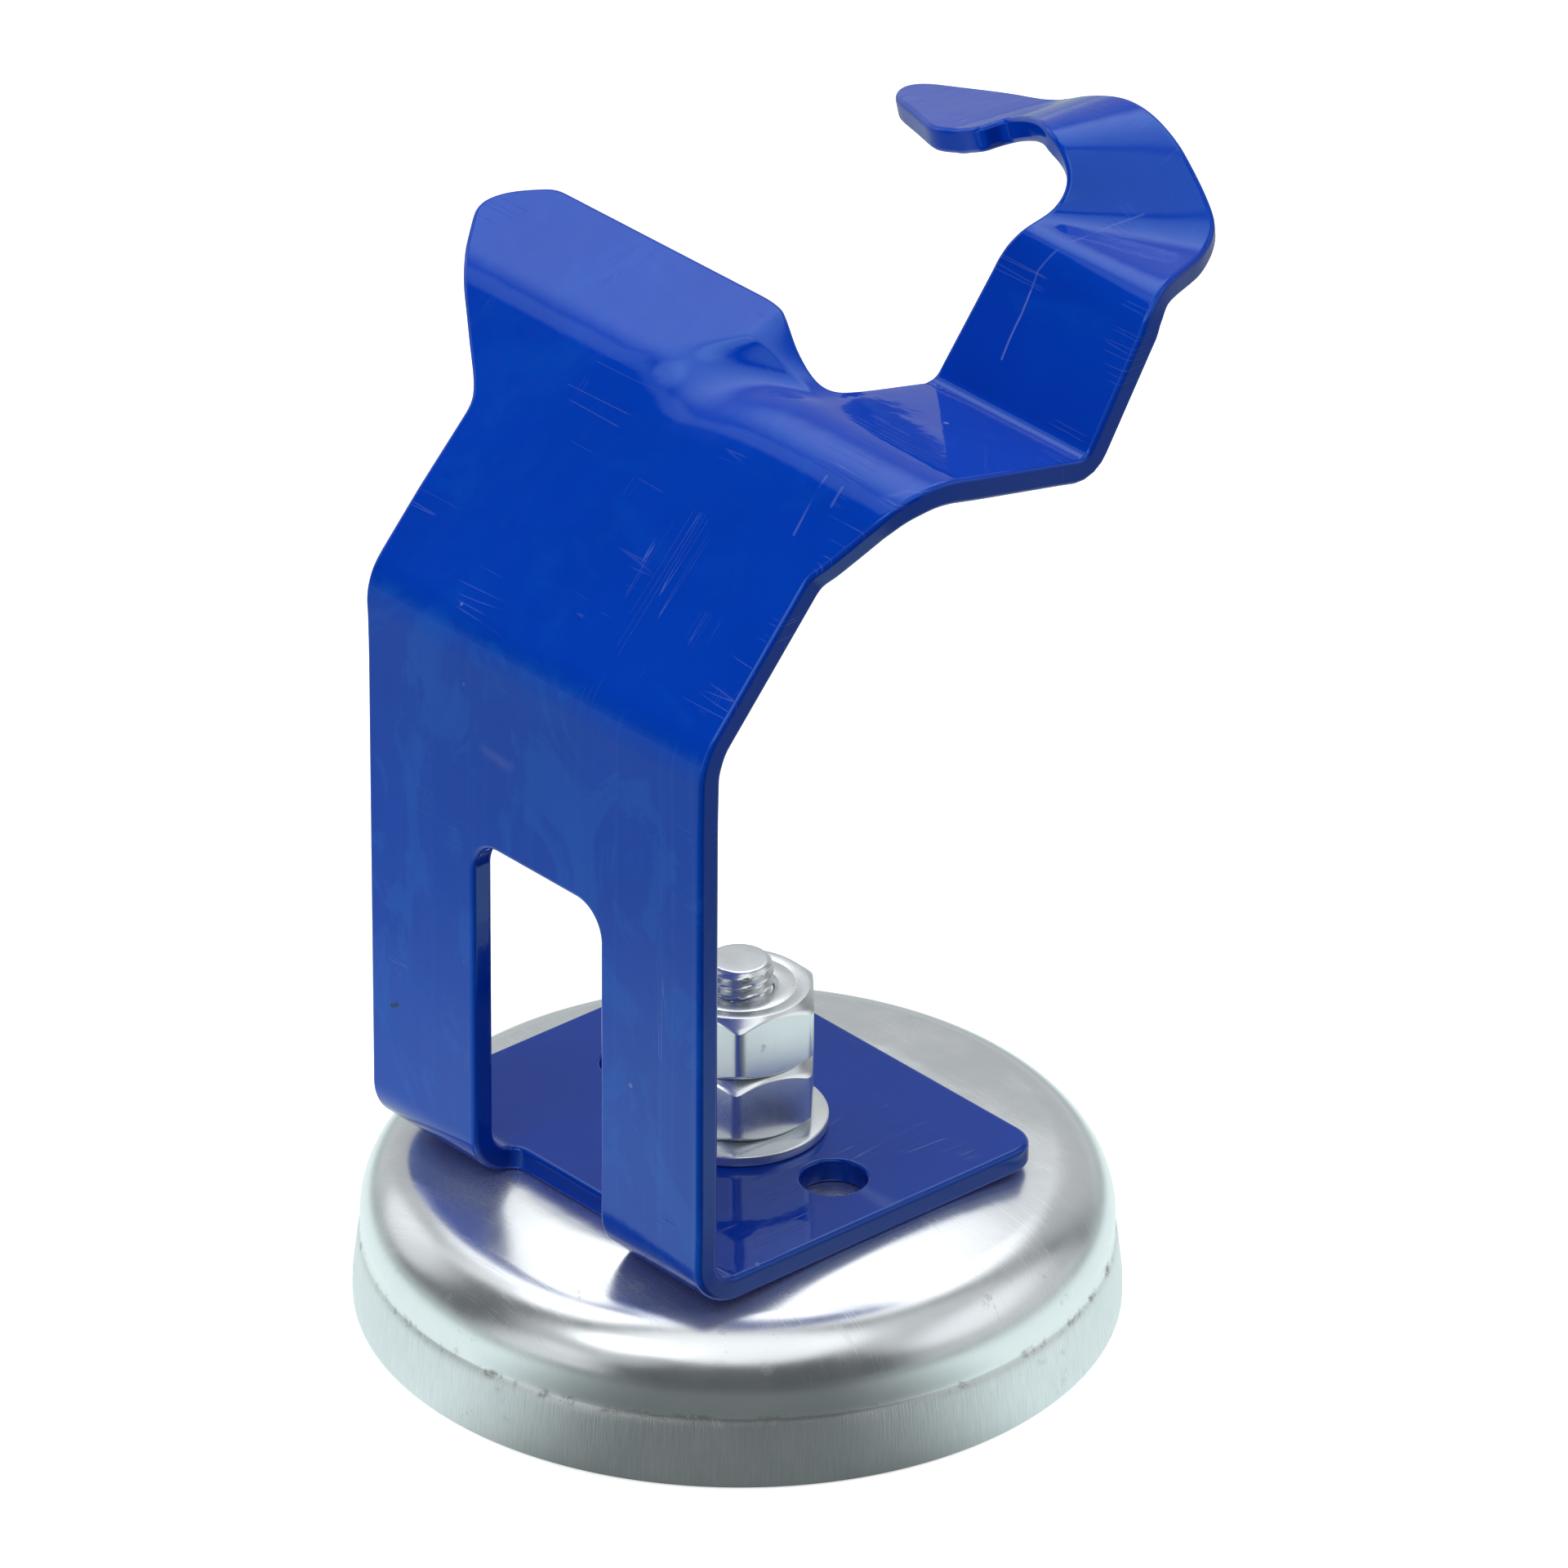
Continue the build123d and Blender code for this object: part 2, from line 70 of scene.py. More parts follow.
# Outer face of the hook, root to tip: x, y, z of the inner edge, then of the outer edge.
HOOK_SECTIONS = np.array([
    (30.4, -8.2, 124.5, 30.4, -31.8, 124.5), (30.86, -8.51, 125.49, 31.13, -31.6, 125.7),
    (31.32, -8.81, 126.4, 32.08, -31.33, 126.7), (31.76, -9.12, 127.18, 33.19, -30.95, 127.53),
    (32.24, -9.38, 127.79, 34.51, -30.48, 128.12), (32.79, -9.55, 128.2, 36.06, -29.9, 128.41),
    (33.42, -9.66, 128.46, 37.81, -29.24, 128.43), (34.1, -9.71, 128.61, 39.67, -28.52, 128.32),
    (34.81, -9.74, 128.72, 41.56, -27.76, 128.18), (35.54, -9.77, 128.85, 43.42, -26.99, 128.12),
    (36.26, -9.83, 129.06, 45.16, -26.23, 128.26), (36.96, -9.93, 129.4, 46.69, -25.48, 128.69),
    (37.62, -10.02, 129.85, 47.94, -24.61, 129.33), (38.22, -10.05, 130.38, 48.84, -23.53, 130.13),
    (38.77, -10.02, 130.97, 49.48, -22.25, 131.02), (39.25, -9.9, 131.59, 49.95, -20.83, 131.98),
    (39.65, -9.69, 132.21, 50.3, -19.28, 132.95), (39.99, -9.39, 132.81, 50.58, -17.64, 133.9),
    (40.27, -9, 133.39, 50.83, -15.94, 134.77), (40.51, -8.51, 133.93, 51.09, -14.2, 135.52),
    (40.69, -7.93, 134.41, 51.41, -12.46, 136.11), (40.84, -7.26, 134.83, 51.81, -10.73, 136.49),
    (40.96, -6.49, 135.16, 52.31, -9.05, 136.66), (41.05, -5.63, 135.39, 52.85, -7.44, 136.66),
    (41.12, -4.68, 135.51, 53.4, -5.9, 136.51), (41.17, -3.62, 135.5, 53.9, -4.46, 136.25),
    (41.22, -2.47, 135.35, 54.31, -3.14, 135.92), (41.27, -1.24, 135.06, 54.62, -1.95, 135.55),
    (41.32, 0.08, 134.64, 54.83, -0.85, 135.14), (41.36, 1.45, 134.13, 54.96, 0.16, 134.7),
    (41.39, 2.87, 133.54, 55.02, 1.1, 134.23), (41.42, 4.33, 132.88, 55.04, 2, 133.75),
    (41.45, 5.8, 132.19, 55.03, 2.87, 133.26), (41.47, 7.27, 131.49, 55, 3.73, 132.76),
    (41.49, 8.73, 130.79, 54.97, 4.6, 132.27), (41.5, 10.16, 130.11, 54.95, 5.5, 131.79),
    (41.5, 11.55, 129.49, 54.97, 6.45, 131.33), (41.5, 12.9, 128.9, 55, 7.45, 130.84),
    (41.5, 14.11, 128.57, 55, 8.8, 130.48), (41.5, 15.31, 128.25, 55, 10.16, 130.11),
    (41.5, 16.52, 127.92, 55, 11.51, 129.75), (41.5, 17.72, 127.6, 55, 12.86, 129.38),
    (41.5, 18.93, 127.27, 55, 14.21, 129.02), (41.5, 20.13, 126.95, 55, 15.57, 128.65),
    (41.5, 21.34, 126.62, 55, 16.92, 128.29), (41.5, 22.54, 126.3, 55, 18.27, 127.92),
    (41.5, 23.75, 125.97, 55, 19.62, 127.56), (41.5, 24.95, 125.65, 55, 20.98, 127.19),
    (41.5, 26.16, 125.32, 55, 22.33, 126.83), (41.5, 27.36, 125, 55, 23.68, 126.46),
    (41.5, 28.57, 124.67, 55, 25.03, 126.1), (41.5, 29.77, 124.34, 55, 26.38, 125.73),
    (41.5, 30.98, 124.02, 55, 27.74, 125.37), (41.5, 32.18, 123.69, 55, 29.09, 125),
    (41.5, 33.38, 123.37, 55, 30.44, 124.64), (41.5, 34.59, 123.04, 55, 31.8, 124.27),
    (41.5, 35.8, 122.72, 55, 33.15, 123.91), (41.5, 37, 122.39, 55, 34.5, 123.54),
])
ARM_END_X, ARM_IN_Y, ARM_END_Z, _, ARM_OUT_Y, _ = HOOK_SECTIONS[0]

# Outlines on the flat sheet: run, y.
EDGE_LOW_Y = [
    (12.5, -26.3), (23.9, -25.8), (24.9, -26.7), (29.3, -28.8), (32.8, -30.4), (37.7, -31.8),
    (42.1, -32.3), (47.0, -32.3),
]
NOTCH = [  # from the arm's root across to the lip
    (53.5, -6.6), (51.0, -6.55), (49.4, -6.45), (48.6, -6.2), (48.1, -5.8), (47.85, -5.1),
    (47.85, -3.9), (48.05, -2.7), (48.4, -1.4), (48.8, -0.1), (49.3, 1.1), (50.0, 2.5),
    (50.6, 3.8), (51.15, 5.3), (51.4, 7.4),
]
EDGE_HIGH_Y = [  # along the lip, then down to the wall
    (51.4, 41.8), (51.4, 43.2), (51.0, 44.1), (49.1, 46.7), (47.8, 48.1), (46.2, 49.1),
    (45.1, 49.35), (43.8, 49.0), (42.8, 48.2), (41.0, 46.8), (38.8, 45.0), (36.8, 43.2),
    (34.6, 41.2), (31.9, 38.5), (28.8, 35.4), (26.0, 32.5), (24.6, 31.3), (23.6, 30.6),
    (22.6, 30.4), (12.0, 30.5), (4.0, 30.3), (-4.0, 29.8),
]
HOOK_OUT = [  # root to tip
    (79.86, -31.88), (82.84, -31.90), (85.26, -31.96), (87.93, -31.97), (89.72, -32.03),
    (91.61, -31.81), (93.04, -31.79), (94.51, -31.67), (96.14, -31.43), (97.81, -31.40),
    (99.48, -31.59), (101.71, -32.15), (103.21, -32.20), (104.95, -31.99), (106.74, -31.39),
    (108.67, -30.44), (110.67, -29.44), (113.08, -28.29), (115.92, -27.97), (122.25, -31.09),
    (126.00, -31.65), (127.63, -30.48), (130.16, -30.68), (133.34, -31.07), (136.66, -31.09),
    (139.83, -30.93), (143.04, -30.78), (145.62, -30.69), (147.33, -30.28), (148.48, -29.11),
    (148.79, -27.33), (148.33, -25.42), (147.18, -23.34),
]
HOOK_IN = [  # root to tip
    (80.10, -8.12), (82.68, -8.40), (86.32, -8.32), (90.65, -7.99), (92.56, -8.18), (94.19, -8.33),
    (96.26, -8.27), (98.32, -8.23), (100.26, -8.00), (102.47, -7.72), (104.84, -7.72),
    (107.27, -8.07), (109.59, -8.77), (112.62, -10.73), (115.73, -12.79), (119.00, -14.88),
    (122.38, -16.54), (122.85, -14.27), (121.87, -10.88), (122.26, -9.72), (124.42, -10.16),
    (126.34, -9.83), (127.47, -9.45), (128.96, -9.49), (130.84, -10.43), (134.38, -12.98),
    (137.84, -15.54), (141.08, -17.91), (143.87, -19.99), (145.60, -21.48),
]
PLATE_HOLES = [  # x, y, radius, points, rim radius
    (0, 0, 4.3, 72, 0.40), (-0.8, -17.2, 3.8, 56, 0.50), (-0.8, 17.2, 3.8, 56, 0.50),
]
OUTER_RIM, WINDOW_RIM = 0.70, 0.65
DIE_MARKS = [  # points as run, y, then depth and half width
    ([(73.8, -14.7), (76.6, -14.6), (79.0, -14.3), (82.2, -14.9), (86.3, -16.0), (91.1, -17.7),
      (93.7, -21.2), (94.1, -26.1)], 0.06, 0.55),
    ([(37.2, -23.8), (40.5, -22.6), (45.6, -20.5)], 0.05, 0.6),
    ([(34.5, -20.1), (27.1, -20.8)], 0.025, 0.5),
]


# ------------------------------------------------------------------ folding the sheet
# On the flat sheet "run" goes up the outer face from the base plate to the hook, and y lies
# along the folds. Run 0 is the sharp corner of wall and slope. The outer face is the plate's
# underside, the wall's -X side and the top of the slope.
def bend_profile(run, corner, tilt, radius):
    """x and z up the slope and round a bend to a new tilt; corner is the sharp corner's run."""
    turn = SLOPE - tilt
    arc_len = radius * turn
    start = corner - radius * math.tan(turn / 2)
    x0, z0 = WALL_X + start * math.cos(SLOPE), FOLD_Z + start * math.sin(SLOPE)
    angle = SLOPE - np.clip(run - start, 0, arc_len) / radius
    x = x0 + radius * (math.sin(SLOPE) - np.sin(angle))
    z = z0 + radius * (np.cos(angle) - math.cos(SLOPE))
    before = np.minimum(run - start, 0)
    after = np.maximum(run - start - arc_len, 0)
    return (x + before * math.cos(SLOPE) + after * math.cos(tilt),
            z + before * math.sin(SLOPE) + after * math.sin(tilt))


# where each part begins (0) and ends (1)
RUN_SLOPE0 = FOLD_R * math.tan((math.pi / 2 - SLOPE) / 2)
RUN_WALL1 = RUN_SLOPE0 - FOLD_R * (math.pi / 2 - SLOPE)
WALL_Z1 = FOLD_Z - RUN_SLOPE0
WALL_Z0 = CUP_TOP + FOOT_R
RUN_WALL0 = RUN_WALL1 - (WALL_Z1 - WALL_Z0)
RUN_PLATE1 = RUN_WALL0 - FOOT_R * math.pi / 2
PLATE_X1 = WALL_X + FOOT_R
RUN_PLATE0 = RUN_PLATE1 - (PLATE_END_X - PLATE_X1)

TROUGH_FLAT_RUN = 60.0          # any run past the trough's bend
flat_x, flat_z = bend_profile(TROUGH_FLAT_RUN, TROUGH_RUN, TROUGH_TILT, TROUGH_R)
ARM_CORNER_RUN = TROUGH_FLAT_RUN + (ARM_CORNER_X - flat_x) / math.cos(TROUGH_TILT)
ARM_CORNER_Z = flat_z + (ARM_CORNER_X - flat_x) * math.tan(TROUGH_TILT)
ARM_LEG = ARM_R * math.tan((ARM_TILT - TROUGH_TILT) / 2)
RUN_BEND0 = ARM_CORNER_RUN - ARM_LEG
RUN_ARM0 = RUN_BEND0 + ARM_R * (ARM_TILT - TROUGH_TILT)
ARM_LEN = math.hypot(ARM_END_X - ARM_CORNER_X, ARM_END_Z - ARM_CORNER_Z) - ARM_LEG
RUN_HOOK0 = RUN_ARM0 + ARM_LEN
RUN_HOOK1 = RUN_HOOK0 + HOOK_LEN
BEND_X0, BEND_Z0 = bend_profile(RUN_BEND0, TROUGH_RUN, TROUGH_TILT, TROUGH_R)
ARM_X0 = BEND_X0 + ARM_R * (math.sin(ARM_TILT) - math.sin(TROUGH_TILT))
ARM_Z0 = BEND_Z0 - ARM_R * (math.cos(ARM_TILT) - math.cos(TROUGH_TILT))


def smooth(amount):
    amount = np.clip(amount, 0, 1)
    return amount * amount * (3 - 2 * amount)


def lip_share(run, y):
    """0 in the trough, 1 on the lip; the change moves towards -Y and narrows up the slope."""
    shift = np.clip((run - 28.0) / 18.0, 0, 1)
    centre, half = 15.0 - 16.5 * shift, 9.5 - 3.0 * shift
    share = smooth((y - (centre - half)) / (2 * half))
    return share * (1 - smooth((run - 47.0) / 7.0) * smooth(-5.5 - y))


def hook_face(run, y):
    """Smooth curve through the hook sections, carried straight on past the last one."""
    last = len(HOOK_SECTIONS) - 1
    station = np.clip((run - RUN_HOOK0) / HOOK_LEN, 0, 1) * last
    index = np.minimum(station.astype(int), last - 1)
    part = (station - index)[..., None]
    sec0, sec1 = HOOK_SECTIONS[np.maximum(index - 1, 0)], HOOK_SECTIONS[index]
    sec2, sec3 = HOOK_SECTIONS[index + 1], HOOK_SECTIONS[np.minimum(index + 2, last)]
    sec0 = np.where((index == 0)[..., None], 2 * sec1 - sec2, sec0)
    sec3 = np.where((index == last - 1)[..., None], 2 * sec2 - sec1, sec3)
    section = 0.5 * (2 * sec1 + (sec2 - sec0) * part
                     + (2 * sec0 - 5 * sec1 + 4 * sec2 - sec3) * part ** 2
                     + (3 * sec1 - sec0 - 3 * sec2 + sec3) * part ** 3)
    across = ((y - ARM_IN_Y) / (ARM_OUT_Y - ARM_IN_Y))[..., None]
    face = section[..., :3] * (1 - across) + section[..., 3:] * across
    step = HOOK_SECTIONS[last] - HOOK_SECTIONS[last - 1]
    ahead = (step[:3] + step[3:]) / 2
    return face + np.maximum(run - RUN_HOOK1, 0)[..., None] * (ahead / np.linalg.norm(ahead))


def place(run, y):
    """Outer face of the folded sheet for arrays of flat coordinates."""
    # base plate
    x = PLATE_X1 + (RUN_PLATE1 - run)
    z = np.full_like(x, CUP_TOP)
    # foot bend
    angle = np.clip((run - RUN_PLATE1) / FOOT_R, 0, math.pi / 2)
    here = run > RUN_PLATE1
    x = np.where(here, PLATE_X1 - FOOT_R * np.sin(angle), x)
    z = np.where(here, CUP_TOP + FOOT_R - FOOT_R * np.cos(angle), z)
    # wall
    here = run > RUN_WALL0
    x = np.where(here, WALL_X, x)
    z = np.where(here, WALL_Z0 + (run - RUN_WALL0), z)
    # fold to the slope
    angle = np.clip((run - RUN_WALL1) / FOLD_R, 0, math.pi / 2 - SLOPE)
    here = run > RUN_WALL1
    x = np.where(here, WALL_X + FOLD_R * (1 - np.cos(angle)), x)
    z = np.where(here, WALL_Z1 + FOLD_R * np.sin(angle), z)
    # slope, lip and trough; the trough bends a little sooner around y = 5
    here = run > RUN_SLOPE0
    lip_x, lip_z = bend_profile(run, *LIP)
    sooner = 1.6 * np.exp(-((y - 5.0) / 8.0) ** 2)
    low_x, low_z = bend_profile(np.minimum(run, RUN_BEND0), TROUGH_RUN - sooner,
                                TROUGH_TILT, TROUGH_R)
    share = lip_share(run, y)
    x = np.where(here, low_x + (lip_x - low_x) * share, x)
    z = np.where(here, low_z + (lip_z - low_z) * share, z)
    # sharp bend up into the arm
    turn = np.clip((run - RUN_BEND0) / ARM_R, 0, ARM_TILT - TROUGH_TILT)
    here = (run > RUN_BEND0) & (y < ARM_SIDE_Y)
    x = np.where(here, BEND_X0 + ARM_R * (np.sin(TROUGH_TILT + turn) - math.sin(TROUGH_TILT)), x)
    z = np.where(here, BEND_Z0 - ARM_R * (np.cos(TROUGH_TILT + turn) - math.cos(TROUGH_TILT)), z)
    # arm
    here = (run > RUN_ARM0) & (y < ARM_SIDE_Y)
    part = np.clip((run - RUN_ARM0) / ARM_LEN, 0, 1)
    x = np.where(here, ARM_X0 + (ARM_END_X - ARM_X0) * part, x)
    z = np.where(here, ARM_Z0 + (ARM_END_Z - ARM_Z0) * part, z)
    here = (run > RUN_HOOK0)[..., None]
    return np.where(here, hook_face(run, y), np.stack((x, y, z), axis=-1))


def frame_at(run, y, reach=0.12):
    """Slopes of the face along run and along y, and its outward normal."""
    by_run = (place(run + reach, y) - place(run - reach, y)) / (2 * reach)
    by_y = (place(run, y + reach) - place(run, y - reach)) / (2 * reach)
    normal = np.cross(by_run, by_y)
    normal /= np.linalg.norm(normal, axis=-1)[..., None]
    return by_run, by_y, normal


# ------------------------------------------------------------------ outlines on the flat sheet
def round_poly(points, radii, step=0.35):
    """Closed polygon with an arc at each corner whose radius is above 0."""
    out = []
    for i, radius in enumerate(radii):
        before, here, after = map(np.array, (points[i - 1], points[i],
                                             points[(i + 1) % len(points)]))
        if radius <= 0:
            out.append(here)
            continue
        back, ahead = before - here, after - here
        back_len, ahead_len = np.linalg.norm(back), np.linalg.norm(ahead)
        back, ahead = back / back_len, ahead / ahead_len
        angle = math.acos(back @ ahead)
        leg = min(radius / math.tan(angle / 2), 0.49 * back_len, 0.49 * ahead_len)
        radius = leg * math.tan(angle / 2)
        middle = (back + ahead) / np.linalg.norm(back + ahead)
        centre = here + middle * radius / math.sin(angle / 2)
        start = math.atan2(*(here + back * leg - centre)[::-1])
        end = math.atan2(*(here + ahead * leg - centre)[::-1])
        sweep = (end - start + math.pi) % (2 * math.pi) - math.pi
        count = max(4, int(abs(sweep) * radius / step) + 1)
        for j in range(count + 1):
            angle = start + sweep * j / count
            out.append(centre + radius * np.array((math.cos(angle), math.sin(angle))))
    return np.array(out)


def resample(loop, step):
    """Even steps along a closed loop, measured on the folded sheet."""
    loop = np.vstack([loop, loop[:1]])
    fine = []
    for start, end in zip(loop[:-1], loop[1:]):
        count = max(2, int(np.linalg.norm(end - start) / 0.05))
        fine.append(start + (end - start) * np.linspace(0, 1, count, endpoint=False)[:, None])
    fine = np.vstack(fine)
    fine = np.vstack([fine, fine[:1]])
    folded = place(fine[:, 0], fine[:, 1])
    length = np.r_[0, np.cumsum(np.linalg.norm(np.diff(folded, axis=0), axis=1))]
    count = max(12, int(round(length[-1] / step)))
    at = np.linspace(0, length[-1], count, endpoint=False)
    return np.c_[np.interp(at, length, fine[:, 0]), np.interp(at, length, fine[:, 1])]


def relax(loop, times, pinned):
    """Takes the small corners out of a measured outline, but not where it is pinned."""
    for _ in range(times):
        eased = 0.25 * np.roll(loop, 1, 0) + 0.5 * loop + 0.25 * np.roll(loop, -1, 0)
        loop = np.where(pinned[:, None], loop, eased)
    return loop


def inset(loop, distance):
    """Each point moved into the sheet, square to the edge on the folded surface."""
    by_run, by_y, normal = frame_at(loop[:, 0], loop[:, 1])
    folded = place(loop[:, 0], loop[:, 1])
    along = np.roll(folded, -1, 0) - np.roll(folded, 1, 0)
    along /= np.linalg.norm(along, axis=1)[:, None]
    inward = np.cross(normal, along)
    inward /= np.linalg.norm(inward, axis=1)[:, None]
    # solve for the flat step that gives this step on the surface
    run_run, run_y, y_y = (by_run * by_run).sum(1), (by_run * by_y).sum(1), (by_y * by_y).sum(1)
    to_run, to_y = (by_run * inward).sum(1) * distance, (by_y * inward).sum(1) * distance
    det = run_run * y_y - run_y * run_y
    return loop + np.c_[(to_run * y_y - to_y * run_y) / det,
                        (run_run * to_y - run_y * to_run) / det]


def inside(run, y, loop):
    """Even-odd test of points against a closed loop."""
    odd = np.zeros(run.shape, bool)
    for (run0, y0), (run1, y1) in zip(loop, np.roll(loop, -1, 0)):
        spans = (y0 > y) != (y1 > y)
        crossing = run0 + (y - y0) * (run1 - run0) / (y1 - y0 if y1 != y0 else 1e-12)
        odd ^= spans & (run < crossing)
    return odd


def on_sheet(run, y, loops):
    """Inside the first loop and outside the others."""
    ok = inside(run, y, loops[0])
    for loop in loops[1:]:
        ok &= ~inside(run, y, loop)
    return ok


def near_points(run, y, points, reach):
    near = np.zeros(run.shape, bool)
    for point_run, point_y in points:
        near |= (run - point_run) ** 2 + (y - point_y) ** 2 < reach * reach
    return near


def run_at_x(x):
    """Run of a place on the base plate."""
    return RUN_PLATE1 - (x - PLATE_X1)


def bracket_outline():
    points = [(RUN_PLATE0, PLATE_Y0), (RUN_WALL0 - 6.0, PLATE_Y0),
              (RUN_WALL0 + 4.0, PLATE_Y0 - 0.3), (0.0, PLATE_Y0 - 0.3), (3.0, PLATE_Y0 - 0.1)]
    points += EDGE_LOW_Y + [(RUN_BEND0 - 2, ARM_OUT_Y), (RUN_HOOK0, ARM_OUT_Y)]
    points += HOOK_OUT + HOOK_IN[::-1]
    points += [(RUN_HOOK0, ARM_IN_Y), (RUN_ARM0 + 0.6, -6.9), (RUN_BEND0 - 0.4, -6.65)]
    points += NOTCH + EDGE_HIGH_Y + [(-60.0, PLATE_Y1), (RUN_PLATE0, PLATE_Y1)]
    radii = [0.0] * len(points)
    radii[0] = radii[-1] = 4.0
    loop = resample(round_poly(points, radii), 0.55)
    loop = relax(loop, 3, pinned=loop[:, 0] < 11)
    loop = relax(loop, 1, pinned=np.zeros(len(loop), bool))
    # widen the sheet by 0.2 from the top of the wall onwards
    along = np.roll(loop, -1, axis=0) - np.roll(loop, 1, axis=0)
    along /= np.maximum(np.linalg.norm(along, axis=1), 1e-9)[:, None]
    outward = 0.2 * np.c_[along[:, 1], -along[:, 0]]
    return loop + outward * smooth((loop[:, 0] + 10.0) / 12.0)[:, None]


def window_outline():
    top = RUN_WALL0 + WINDOW_TOP - WALL_Z0
    low = run_at_x(WINDOW_X)
    corners = [(low, WINDOW_Y0), (top, WINDOW_Y0), (top, WINDOW_Y1), (low, WINDOW_Y1)]
    return resample(round_poly(corners, [1.6, 4.0, 4.0, 1.6]), 0.5)


def hole_outline(x, y, radius, count):
    angle = np.linspace(0, 2 * math.pi, count, endpoint=False)
    return np.c_[run_at_x(x) + radius * np.cos(angle), y + radius * np.sin(angle)]


# ------------------------------------------------------------------ bracket mesh
def make(name, verts, faces, normals=None, sharp=None):
    """Smooth-shaded object from points in mm, with given normals or a sharp angle in degrees."""
    mesh = bpy.data.meshes.new(name)
    mesh.from_pydata([tuple(v) for v in np.asarray(verts, float) * MM], [],
                     [tuple(int(i) for i in face) for face in faces])
    mesh.update()
    mesh.polygons.foreach_set("use_smooth", [True] * len(mesh.polygons))
    ob = bpy.data.objects.new(name, mesh)
    bpy.context.scene.collection.objects.link(ob)
    if normals is not None:
        unit = normals / np.linalg.norm(normals, axis=1)[:, None]
        mesh.normals_split_custom_set_from_vertices([tuple(v) for v in unit])
    else:
        mesh.set_sharp_from_angle(angle=math.radians(sharp))
    return ob


def grid_points():
    """Staggered points over the whole sheet, denser along run in the bends."""
    rows, run = [], RUN_PLATE0 + 0.8
    while run < RUN_HOOK1:
        rows.append(run)
        in_foot = RUN_PLATE1 - 1 < run < RUN_WALL0 + 0.5
        if in_foot or RUN_WALL1 - 1 < run < RUN_SLOPE0 + 1:
            run += 0.5
        elif RUN_BEND0 - 1.0 < run < RUN_ARM0 + 0.8:
            run += 0.22
        elif run < 20:
            run += 1.6
        elif run < RUN_HOOK0 - 1:
            run += 0.75
        else:
            run += 0.7
    across = np.arange(-33.0, 50.5, 1.0)
    grid_run = np.concatenate([np.full_like(across, run) for run in rows])
    grid_y = np.concatenate([across + (0.5 if j % 2 else 0) for j in range(len(rows))])
    return grid_run, grid_y


def die_mark(run, y):
    """Height of the shallow marks left by the forming dies."""
    height = -0.10 * np.exp(-((run - (RUN_BEND0 - 0.9)) / 0.35) ** 2) * (y < -8.5)
    for points, depth, half_width in DIE_MARKS:
        points = np.array(points)
        nearest = np.full(run.shape, 9.0)
        for start, end in zip(points[:-1], points[1:]):
            leg = end - start
            part = ((run - start[0]) * leg[0] + (y - start[1]) * leg[1]) / (leg @ leg)
            part = np.clip(part, 0, 1)
            nearest = np.minimum(nearest, np.hypot(run - start[0] - part * leg[0],
                                                   y - start[1] - part * leg[1]))
        height -= depth * np.exp(-(nearest / half_width) ** 2)
    return height


def triangulate(insets):
    """Flat points and triangles; the points of the inset loops come first."""
    links, base = [], 0
    for loop in insets:
        count = len(loop)
        links += [(base + i, base + (i + 1) % count) for i in range(count)]
        base += count
    rim = np.vstack(insets)
    run, y = grid_points()
    ok = on_sheet(run, y, insets)
    run, y = run[ok], y[ok]
    ok = ~near_points(run, y, rim, 0.42)
    wanted = np.vstack([rim, np.c_[run[ok], y[ok]]])
    result = delaunay_2d_cdt([Vector((a, b)) for a, b in wanted], links, [], 0, 1e-6, False)
    flat = np.array([(v[0], v[1]) for v in result[0]])
    tris = np.array(result[2])
    if len(flat) != len(wanted):
        raise ValueError("outline crosses itself: %d points became %d" % (len(wanted), len(flat)))
    mid_run, mid_y = flat[tris].mean(1).T
    tris = tris[on_sheet(mid_run, mid_y, insets)]
    first = flat[tris[:, 0]]
    side1, side2 = flat[tris[:, 1]] - first, flat[tris[:, 2]] - first
    turned = ~(side1[:, 0] * side2[:, 1] - side1[:, 1] * side2[:, 0] > 0)
    tris[turned] = tris[turned][:, ::-1]
    return flat, tris


def sheet_mesh(name, loops):
    """Thick folded sheet; loops are (flat outline, rim radius), the outer one first."""
    insets = [inset(loop, radius) for loop, radius in loops]
    flat, tris = triangulate(insets)
    face, normal = place(flat[:, 0], flat[:, 1]), frame_at(flat[:, 0], flat[:, 1])[2]
    marked = face + normal * die_mark(flat[:, 0], flat[:, 1])[:, None]
    verts, normals = [marked, face - THICK * normal], [normal, -normal]
    total = len(flat)
    faces = [tuple(f) for f in tris]
    faces += [(f[0] + total, f[2] + total, f[1] + total) for f in tris]
    angles = [math.pi / 2 * j / RIM_STEPS for j in range(RIM_STEPS + 1)]
    at, new = 0, 2 * total
    for loop, radius in loops:
        count = len(loop)
        edge, up = face[at:at + count], normal[at:at + count]
        out = place(loop[:, 0], loop[:, 1]) - edge
        out -= (out * up).sum(1)[:, None] * up
        out /= np.linalg.norm(out, axis=1)[:, None]
        # rows round the rim: depth of the arc's centre, direction from it
        rows = [(radius, math.cos(a) * up + math.sin(a) * out) for a in angles[1:]]
        rows += [(THICK / 2, out)]
        rows += [(THICK - radius, math.cos(a) * out - math.sin(a) * up) for a in angles[:-1]]
        ids = [np.arange(at, at + count)]
        for depth, direction in rows:
            verts.append(edge - depth * up + radius * direction)
            normals.append(direction)
            ids.append(np.arange(new, new + count))
            new += count
        ids.append(np.arange(at, at + count) + total)
        for row0, row1 in zip(ids[:-1], ids[1:]):
            for i in range(count):
                j = (i + 1) % count
                faces.append((row0[i], row1[i], row1[j], row0[j]))
        at += count
    return make(name, np.vstack(verts), faces, normals=np.vstack(normals))


# ------------------------------------------------------------------ fitting parts to the frame
parts = []      # object, slot
slot_of = {}    # frame piece: slot


